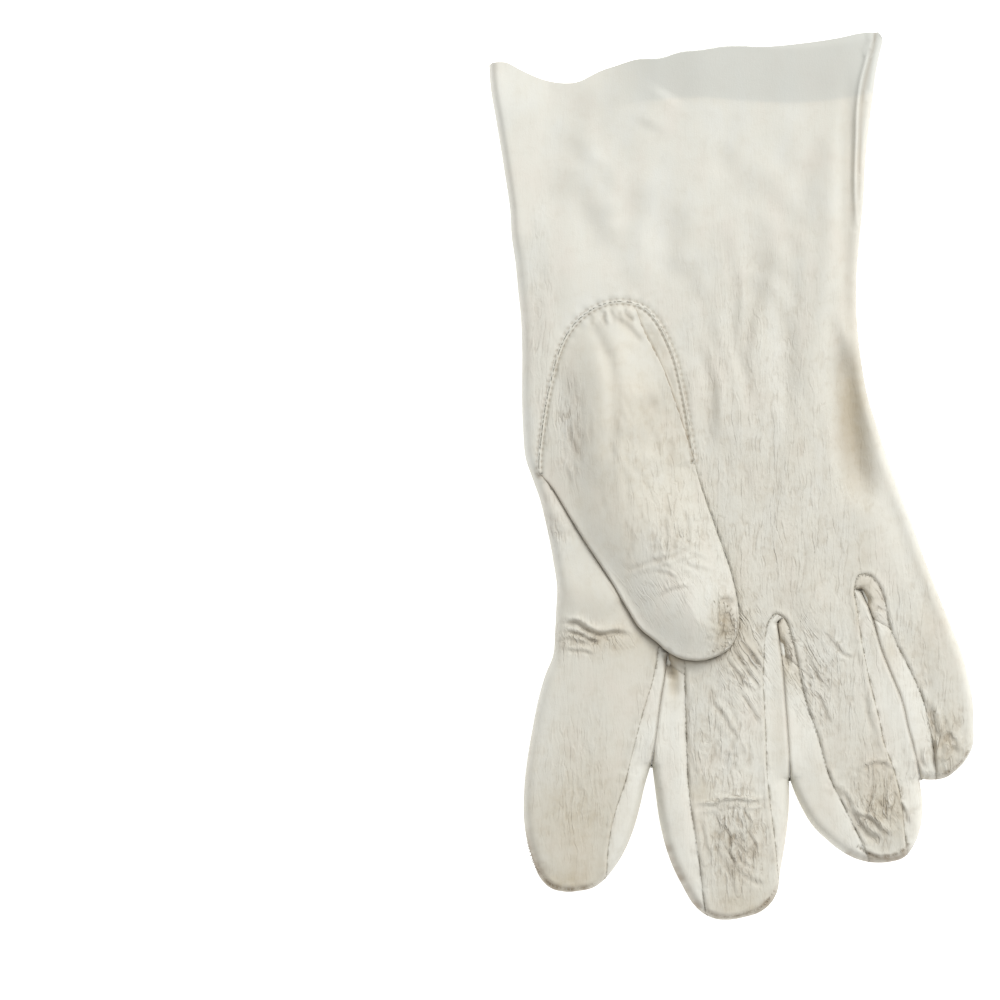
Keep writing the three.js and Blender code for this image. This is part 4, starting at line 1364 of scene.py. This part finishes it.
HAND_STITCH = {"pitch": 1.5, "length": 0.95, "thickness": 0.26}
TIP_STITCH = {"pitch": 1.3, "length": 0.9, "thickness": 0.28, "across": 0.6, "lift": 0.05}
RIM_STITCH = {"pitch": 1.0, "length": 0.9, "thickness": 0.24, "across": 0.8, "lift": 0.2}
STRIP_STITCH = {"pitch": 1.25, "length": 0.75, "thickness": 0.17, "across": 0.15, "lift": 0.06}
FORK_STITCH = {"pitch": 0.95, "length": 1.0, "thickness": 0.2, "across": 1.0, "lift": 0.14}

stitches_on_lines = stitch_tree()
seam_course = {name: even_steps(line, 0.5) for name, line in seam_lines.items()}
thumb_course = even_steps(thumb_seam_line, 0.5)
palm_row = thumb_course + WELT_HALF * aside(thumb_course)
thumb_row = (thumb_course - WELT_HALF * aside(thumb_course))[6:-6]
palm_stitches = stitched("trank_stitches", [palm_row], palm_surface, **HAND_STITCH)
thumb_stitches = stitched("thumb_stitches", [thumb_row], thumb_surface, **HAND_STITCH)
tip_stitches = stitched("thumb_tip_stitches", [drawn(thumb_tip_seam, 0.5)], thumb_surface, **TIP_STITCH)
tip_course = [drawn(pixels, 0.5)[2:-2] for pixels in tip_seams.values()]
rim_stitches = stitched("fingertip_stitches", tip_course, palm_surface, **RIM_STITCH)
strip_stitches = {}
for name, line in seam_course.items():
    fork = int(np.hypot(*(line - crevice_lines[name][-1]).T).argmin())
    strip_stitches[name] = [
        stitched("fourchette_" + name + "_stitches", [line], palm_surface, **STRIP_STITCH),
        stitched("fork_" + name + "_stitches", [line[fork - 12 : fork + 14]], palm_surface, **FORK_STITCH),
    ]

# Floor, light and camera, in metres and watts

FLOOR_HALF = 4.0
FLOOR_TONE = (0.85, 0.85, 0.85, 1.0)
FLOOR_GLOW = 0.7
ROOM_LIGHT = 0.64
WINDOW_PLACE = (0.9, 1.15, 1.5)
WINDOW_SIZE = 1.0
WINDOW_POWER = 33.0
PICTURE_WIDTH = 0.255
CAMERA_HEIGHT = 2.0

floor_mesh = bpy.data.meshes.new("floor")
floor_corners = [(x * FLOOR_HALF, y * FLOOR_HALF, 0) for x, y in ((-1, -1), (1, -1), (1, 1), (-1, 1))]
floor_mesh.from_pydata(floor_corners, [], [(0, 1, 2, 3)])
floor = bpy.data.objects.new("floor", floor_mesh)
bpy.context.scene.collection.objects.link(floor)
white = Shade("white_floor")
paper = white.node("ShaderNodeBsdfDiffuse", None, Color=FLOOR_TONE)
glow = white.node("ShaderNodeEmission", None, Color=(1.0, 1.0, 1.0, 1.0), Strength=FLOOR_GLOW)
both = white.node("ShaderNodeAddShader")
white.tree.links.new(paper.outputs[0], both.inputs[0])
white.tree.links.new(glow.outputs[0], both.inputs[1])
white.tree.links.new(both.outputs[0], white.node("ShaderNodeOutputMaterial").inputs[0])
floor_mesh.materials.append(white.material)

world = bpy.data.worlds.new("soft light all round")
bpy.context.scene.world = world
world.use_nodes = True
world.node_tree.nodes["Background"].inputs[0].default_value = (1.0, 1.0, 1.0, 1.0)
world.node_tree.nodes["Background"].inputs[1].default_value = ROOM_LIGHT


def lamp(name, place, size, power):
    light = bpy.data.lights.new(name, "AREA")
    light.shape = "SQUARE"
    light.size = size
    light.energy = power
    body = bpy.data.objects.new(name, light)
    bpy.context.scene.collection.objects.link(body)
    body.location = place
    toward = -np.array(place)
    body.rotation_euler = (
        math.atan2(math.hypot(toward[0], toward[1]), -toward[2]),
        0,
        math.atan2(toward[1], toward[0]) - math.pi / 2,
    )


lamp("window_light", WINDOW_PLACE, WINDOW_SIZE, WINDOW_POWER)

camera_data = bpy.data.cameras.new("camera")
camera = bpy.data.objects.new("camera", camera_data)
bpy.context.scene.collection.objects.link(camera)
picture_middle = in_plan((500, 500)) * 0.001
camera.location = (picture_middle[0], picture_middle[1], CAMERA_HEIGHT)
camera_data.lens = camera_data.sensor_width * CAMERA_HEIGHT / PICTURE_WIDTH
bpy.context.scene.camera = camera
bpy.context.scene.view_settings.view_transform = "Standard"

# What each piece stands for

for piece in [palm_stitches, rim_stitches, thumb_stitches, tip_stitches, *sum(strip_stitches.values(), [])]:
    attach(piece, "root")

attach(trank, "root")
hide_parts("trank")
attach(thumb, "root")
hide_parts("thumb")
for name in strips:
    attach(strips[name], "root")
    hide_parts("fourchette_" + name)
    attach(gusset_pieces[name], "root")
    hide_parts("quirk_" + name)
